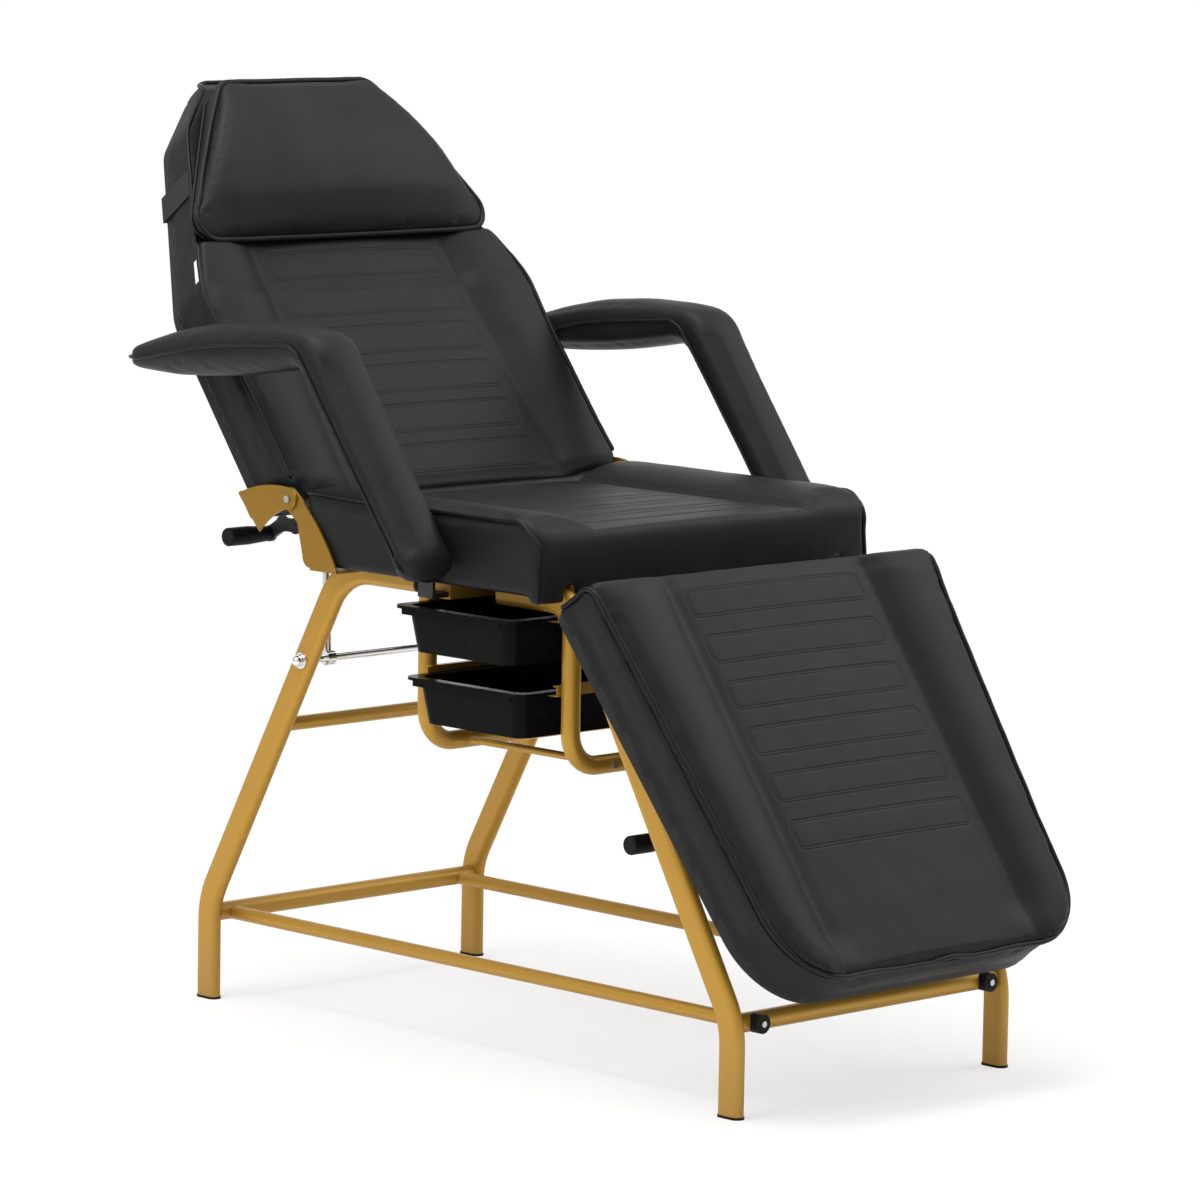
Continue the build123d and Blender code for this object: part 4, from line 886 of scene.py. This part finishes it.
class CHAIR_OT_leg_rest(bpy.types.Operator):
    """Dress the leg rest: bolsters down both sides and six pressed panels between them"""
    bl_idname = "chair.leg_rest"
    bl_label = "Leg rest pad"

    def execute(self, context):
        softness, slope = context.scene.chair_softness, leg_slope()

        def free(p):
            """The front swells. The rear edge, by the seat, and the board's side stay."""
            x, y, z = p.T
            return smooth_step(z, -0.055, -0.03) * (1 - smooth_step(y, -0.03, -0.01))

        def shape(p, n):
            """Grooves beside the bolsters that a filled roll ends at the front, pressed panels, and a rim
            that covers the board's edge."""
            x, y, z = p.T
            flank = facing_aside(n)
            side = flank * smooth_step(z, -0.058, -0.045)
            low = 1 - smooth_step(z, -0.062, -0.050)
            rim = (0.0012 * flank + 0.003 * smooth_step(-n[:, 2], 0.2, 0.7)) * low
            inside = smooth_step(y, -0.555, -0.50) * (1 - smooth_step(y, -0.03, 0.0))
            groove = -LEG.groove_depth * hump(np.abs(x) - LEG.groove, width=0.016) * inside
            roll = LEG.roll_height * hump(np.abs(x) - LEG.roll, width=0.034) * smooth_step(-y, 0.515, 0.560)
            panels = LEG.panels.pressed(x, y, softness)
            waves = slack(x, y, seed=33, height=0.0005)
            folds = side * slack(x + y, z, seed=43, height=0.0006, longest=0.09)
            return facing_front(n) * (groove + roll + panels + waves) + folds + rim

        leg = dress_pad("leg_cushion", "leg_pad", "leg_rest", slope, softness, free, shape, LEG.panels)
        edge = [(-LEG.rear_half, LEG.rear), (-LEG.front_half, LEG.front), (LEG.front_half, LEG.front),
                (LEG.rear_half, LEG.rear)]
        for name, depth, radius in (("leg_piping", 0.0, softness.piping),
                                    ("leg_side_seam", LEG.seam_depth, LEG.seam_radius)):
            corners = [(*edge[0], -LEG.deep), *((*spot, -depth) for spot in edge), (*edge[-1], -LEG.deep)]
            path = slope.out(rounded(corners, [0, 0.026, 0.110, 0.110, 0.026, 0], step=0.005))
            piping(name, [path], leg, "leg_rest", radius)
        return {"FINISHED"}


PILLOW = Plan(foot=0.388, bend=0.438, long=0.230, half=0.284, top_half=0.135, corner=0.026,
              cord=0.0042, rear_cord=0.0024)


def pillow_edge(y):
    """How high the pillow's front edge is: a smooth curve through the foot, a third and the top."""
    spots = np.array([0.0, 1 / 3, 1.0])
    heights = np.array([0.006, 0.020, 0.038])
    return np.polyval(np.polyfit(spots, heights, 2), (y - PILLOW.foot) / PILLOW.long)


class CHAIR_OT_pillow(bpy.types.Operator):
    """Dress the head pillow: a bulging wedge with piping round both faces"""
    bl_idname = "chair.pillow"
    bl_label = "Head pillow"

    def execute(self, context):
        softness, slope = context.scene.chair_softness, back_slope()
        foot, top = PILLOW.foot, PILLOW.foot + PILLOW.long

        def free(p):
            """All but the back, which lies on the backrest, swells."""
            return smooth_step(p[:, 2], 0.002, 0.012)

        def shape(p, n):
            """A soft ridge across the pillow near its foot, and gathers in both corners there."""
            x, y, z = p.T
            bend, sharp = PILLOW.bend, 14
            wide = 1 - smooth_step(np.abs(x), 0.19, 0.25)
            below, above = (y - foot) / (bend - foot), (top - y) / (top - bend)
            crease = -0.008 * np.logaddexp(-sharp * below, -sharp * above) / sharp * wide
            away = np.hypot(np.abs(x) - 0.275, y - foot)
            folds = gathers(x * 1.4 + y, away, seed=55, height=0.0016, pitch=0.020, reach=0.022)
            return facing_front(n) * (crease + folds + slack(x, y, seed=53, height=0.0008, longest=0.2))

        pillow = dress_pad("pillow", "head_pillow", "headrest_pillow", slope, softness, free, shape,
                           step=0.0035, passes=24)
        corners = [(-PILLOW.half, foot), (PILLOW.half, foot), (PILLOW.top_half, top), (-PILLOW.top_half, top)]
        line = rounded(corners, [PILLOW.corner] * 4, step=0.004, closed=True)
        front = slope.out(np.column_stack([line, pillow_edge(line[:, 1])]))
        rear = slope.out(np.column_stack([line, np.full(len(line), -0.001)]))
        piping("pillow_piping", [front], pillow, "headrest_pillow", PILLOW.cord, closed=True)
        piping("pillow_rear_piping", [rear], pillow, "headrest_pillow", PILLOW.rear_cord, closed=True)
        return {"FINISHED"}


ARM = Plan(centre=0.3525, half=0.0395, inner=0.313, rear=-0.014, foot=0.660, long=0.555, tall=0.282,
           bend=(0.158, 0.888), cord=0.0022)


def arm_seam(side):
    """The cord round an armrest's cover: down both flanks near their rear edge, round the foot and tip.
    The flanks' places are shares of the armrest's length and height."""
    spots = [(0.905, 0.802), (0.650, 0.897), (0.362, 0.944), (0.330, 0.915), (0.290, 0.815), (-0.012, 0.018),
             (-0.040, -0.010)]
    radii = [0.034, 0.6, 0.02, 0.02, 0.05, 0.012, 0.012]
    flank = [(ARM.rear + along * ARM.long, ARM.foot + up * ARM.tall) for along, up in spots]
    tip = (ARM.rear + 0.963 * ARM.long, ARM.foot + 0.800 * ARM.tall)
    near, far, inset = side * (ARM.centre - ARM.half), side * (ARM.centre + ARM.half), side * 0.010
    corners = [(near, *spot) for spot in flank] + [(far, *spot) for spot in flank[::-1]]
    corners += [(far - inset, *tip), (near + inset, *tip)]
    return rounded(corners, radii + radii[::-1] + [0.02, 0.02], step=0.004, closed=True)


class CHAIR_OT_armrests(bpy.types.Operator):
    """Dress both armrests, with a cord round each cover"""
    bl_idname = "chair.armrests"
    bl_label = "Armrest pads"

    def execute(self, context):
        softness, slope = context.scene.chair_softness, level_slope(0.0)
        for side, word in ((-1, "left"), (1, "right")):
            def free(p, side=side):
                """All but the inner face, which the seat is close to, swells."""
                inner = 1 - smooth_step(side * p[:, 0] - ARM.inner, 0.002, 0.010)
                return 1 - 0.9 * inner

            def shape(p, n, side=side):
                """Gathers on the flanks round the bend, and a fuller middle between the flanks."""
                x, y, z = p.T
                flank = smooth_step(np.abs(n[:, 0]), 0.6, 0.9)
                away = np.hypot(y - ARM.bend[0], z - ARM.bend[1])
                bend = gathers(y - z, away, seed=61 + side, height=0.0013, pitch=0.016, reach=0.022)
                middle = 1 - smooth_step(np.abs(x - side * ARM.centre), 0.0, 0.038)
                belly = 0.0030 * middle * (1 - flank)
                waves = slack(y, z, seed=71 + side, height=0.0007, longest=0.15)
                return waves + bend * flank + belly + 0.0012

            name, body = f"arm_rest_{word}", f"arm_{word}"
            rest = dress_pad(f"arm_pad_{word}", name, body, slope, softness, free, shape,
                             step=0.004, passes=26)
            seam = slope.out(arm_seam(side))
            piping(f"arm_seams_{word}", [seam], rest, body, ARM.cord, closed=True)
        return {"FINISHED"}


class CHAIR_OT_hard_parts(bpy.types.Operator):
    """Give each hard part of the chair its finish"""
    bl_idname = "chair.hard_parts"
    bl_label = "Frame, trays and fittings"

    def execute(self, context):
        plates = {"seat_plate_left", "seat_plate_right", "back_plate_left", "back_plate_right",
                  "fixed_leaves", "moving_leaves"}
        for part in frame["record"]["subparts"]:
            node = frame["nodes"][part["node"]]
            name = "gold_plate" if part["node"] in plates else part["material_slot"]
            for place in node.material_slots:
                place.material = finish(name)
        return {"FINISHED"}


# The stage

SENSOR = 36.0  # width of the camera's sensor in millimetres
LAMP_TARGET = (0.0, 0.0, 0.6)
LAMPS = (  # name, place, width in metres, power in watts
    ("top lamp", (-0.6, 0.2, 4.4), 3.0, 138.0),
    ("right lamp", (3.2, -1.5, 3.5), 2.8, 62.0),
    ("left lamp", (-3.0, 0.3, 2.9), 2.4, 52.0),
    ("rear lamp", (3.2, 3.4, 1.3), 2.6, 17.0),
)


def lamp(name, spot, size, power):
    """A square soft lamp that looks at the chair."""
    light = bpy.data.lights.new(name, "AREA")
    light.shape, light.size, light.energy = "SQUARE", size, power
    holder = bpy.data.objects.new(name, light)
    holder.location = spot
    holder.rotation_mode = "QUATERNION"
    holder.rotation_quaternion = (Vector(LAMP_TARGET) - Vector(spot)).to_track_quat("-Z", "Y")
    holder.visible_camera = False
    bpy.context.scene.collection.objects.link(holder)


def lay_floor(scene, stage):
    """A square floor under the chair."""
    half = stage.floor_size
    mesh = bpy.data.meshes.new("floor")
    corners = [(-half, -half, 0), (half, -half, 0), (half, half, 0), (-half, half, 0)]
    mesh.from_pydata(corners, [], [(0, 1, 2, 3)])
    floor = bpy.data.objects.new("floor", mesh)
    scene.collection.objects.link(floor)
    floor.data.materials.append(floor_paint(stage))


def light_surroundings(scene, stage):
    """White all round for the camera, and a share of it as light on the chair."""
    sky = Paint("pale surroundings", "worlds")
    strength = sky.add("MapRange", {0: sky.seen(), 3: stage.surroundings, 4: 1.0})[0]
    sky.add("OutputWorld", {0: sky.add("Background", {0: WHITE, 1: strength})[0]})
    scene.world = sky.made


def place_camera(scene, stage):
    """A camera that orbits its target at a distance, leant by its roll."""
    azimuth, elevation, roll = (math.radians(v) for v in (stage.azimuth, stage.elevation, stage.roll))
    across, ahead = math.sin(azimuth) * math.cos(elevation), math.cos(azimuth) * math.cos(elevation)
    back = Vector((across, -ahead, math.sin(elevation)))
    right = Vector((math.cos(azimuth), math.sin(azimuth), 0.0))
    up = back.cross(right)
    leant = math.cos(roll) * right + math.sin(roll) * up
    raised = math.cos(roll) * up - math.sin(roll) * right
    lens = bpy.data.cameras.new("camera")
    lens.sensor_width, lens.lens = SENSOR, stage.lens
    camera = bpy.data.objects.new("camera", lens)
    scene.collection.objects.link(camera)
    aim = Vector((stage.aim_across, middle_of_feet(), stage.aim_height))
    place = Matrix((leant, raised, back)).transposed().to_4x4()
    place.translation = aim + back * stage.distance
    camera.matrix_world = place
    scene.camera = camera


class CHAIR_OT_stage(bpy.types.Operator):
    """Set the floor, the lamps, the pale surroundings and the camera"""
    bl_idname = "chair.stage"
    bl_label = "Stage"

    def execute(self, context):
        scene, stage = context.scene, context.scene.chair_stage
        lay_floor(scene, stage)
        light_surroundings(scene, stage)
        for name, spot, size, power in LAMPS:
            lamp(name, spot, size, power)
        place_camera(scene, stage)
        scene.view_settings.view_transform = "Standard"
        return {"FINISHED"}


class CHAIR_PT_sidebar(bpy.types.Panel):
    """The chair's pieces and settings"""
    bl_idname = "CHAIR_PT_sidebar"
    bl_label = "Treatment chair"
    bl_space_type = "VIEW_3D"
    bl_region_type = "UI"
    bl_category = "Treatment chair"

    def draw(self, context):
        for group in (context.scene.chair_finishes, context.scene.chair_softness, context.scene.chair_stage):
            box = self.layout.box()
            for name in group.__annotations__:
                box.prop(group, name)
        for operator in OPERATORS:
            self.layout.operator(operator.bl_idname)


GROUPS = (ChairFinishes, ChairSoftness, ChairStage)
OPERATORS = (CHAIR_OT_hard_parts, CHAIR_OT_seat, CHAIR_OT_backrest, CHAIR_OT_leg_rest, CHAIR_OT_pillow,
             CHAIR_OT_armrests, CHAIR_OT_stage)


def register():
    for cls in (*GROUPS, *OPERATORS, CHAIR_PT_sidebar):
        bpy.utils.register_class(cls)
    bpy.types.Scene.chair_finishes = PointerProperty(type=ChairFinishes)
    bpy.types.Scene.chair_softness = PointerProperty(type=ChairSoftness)
    bpy.types.Scene.chair_stage = PointerProperty(type=ChairStage)


def unregister():
    del bpy.types.Scene.chair_stage
    del bpy.types.Scene.chair_softness
    del bpy.types.Scene.chair_finishes
    for cls in reversed((*GROUPS, *OPERATORS, CHAIR_PT_sidebar)):
        bpy.utils.unregister_class(cls)


def main():
    """Builds the whole chair and its stage."""
    register()
    bpy.ops.chair.hard_parts()
    bpy.ops.chair.seat()
    bpy.ops.chair.backrest()
    bpy.ops.chair.leg_rest()
    bpy.ops.chair.pillow()
    bpy.ops.chair.armrests()
    bpy.ops.chair.stage()


if __name__ == "__main__":
    main()
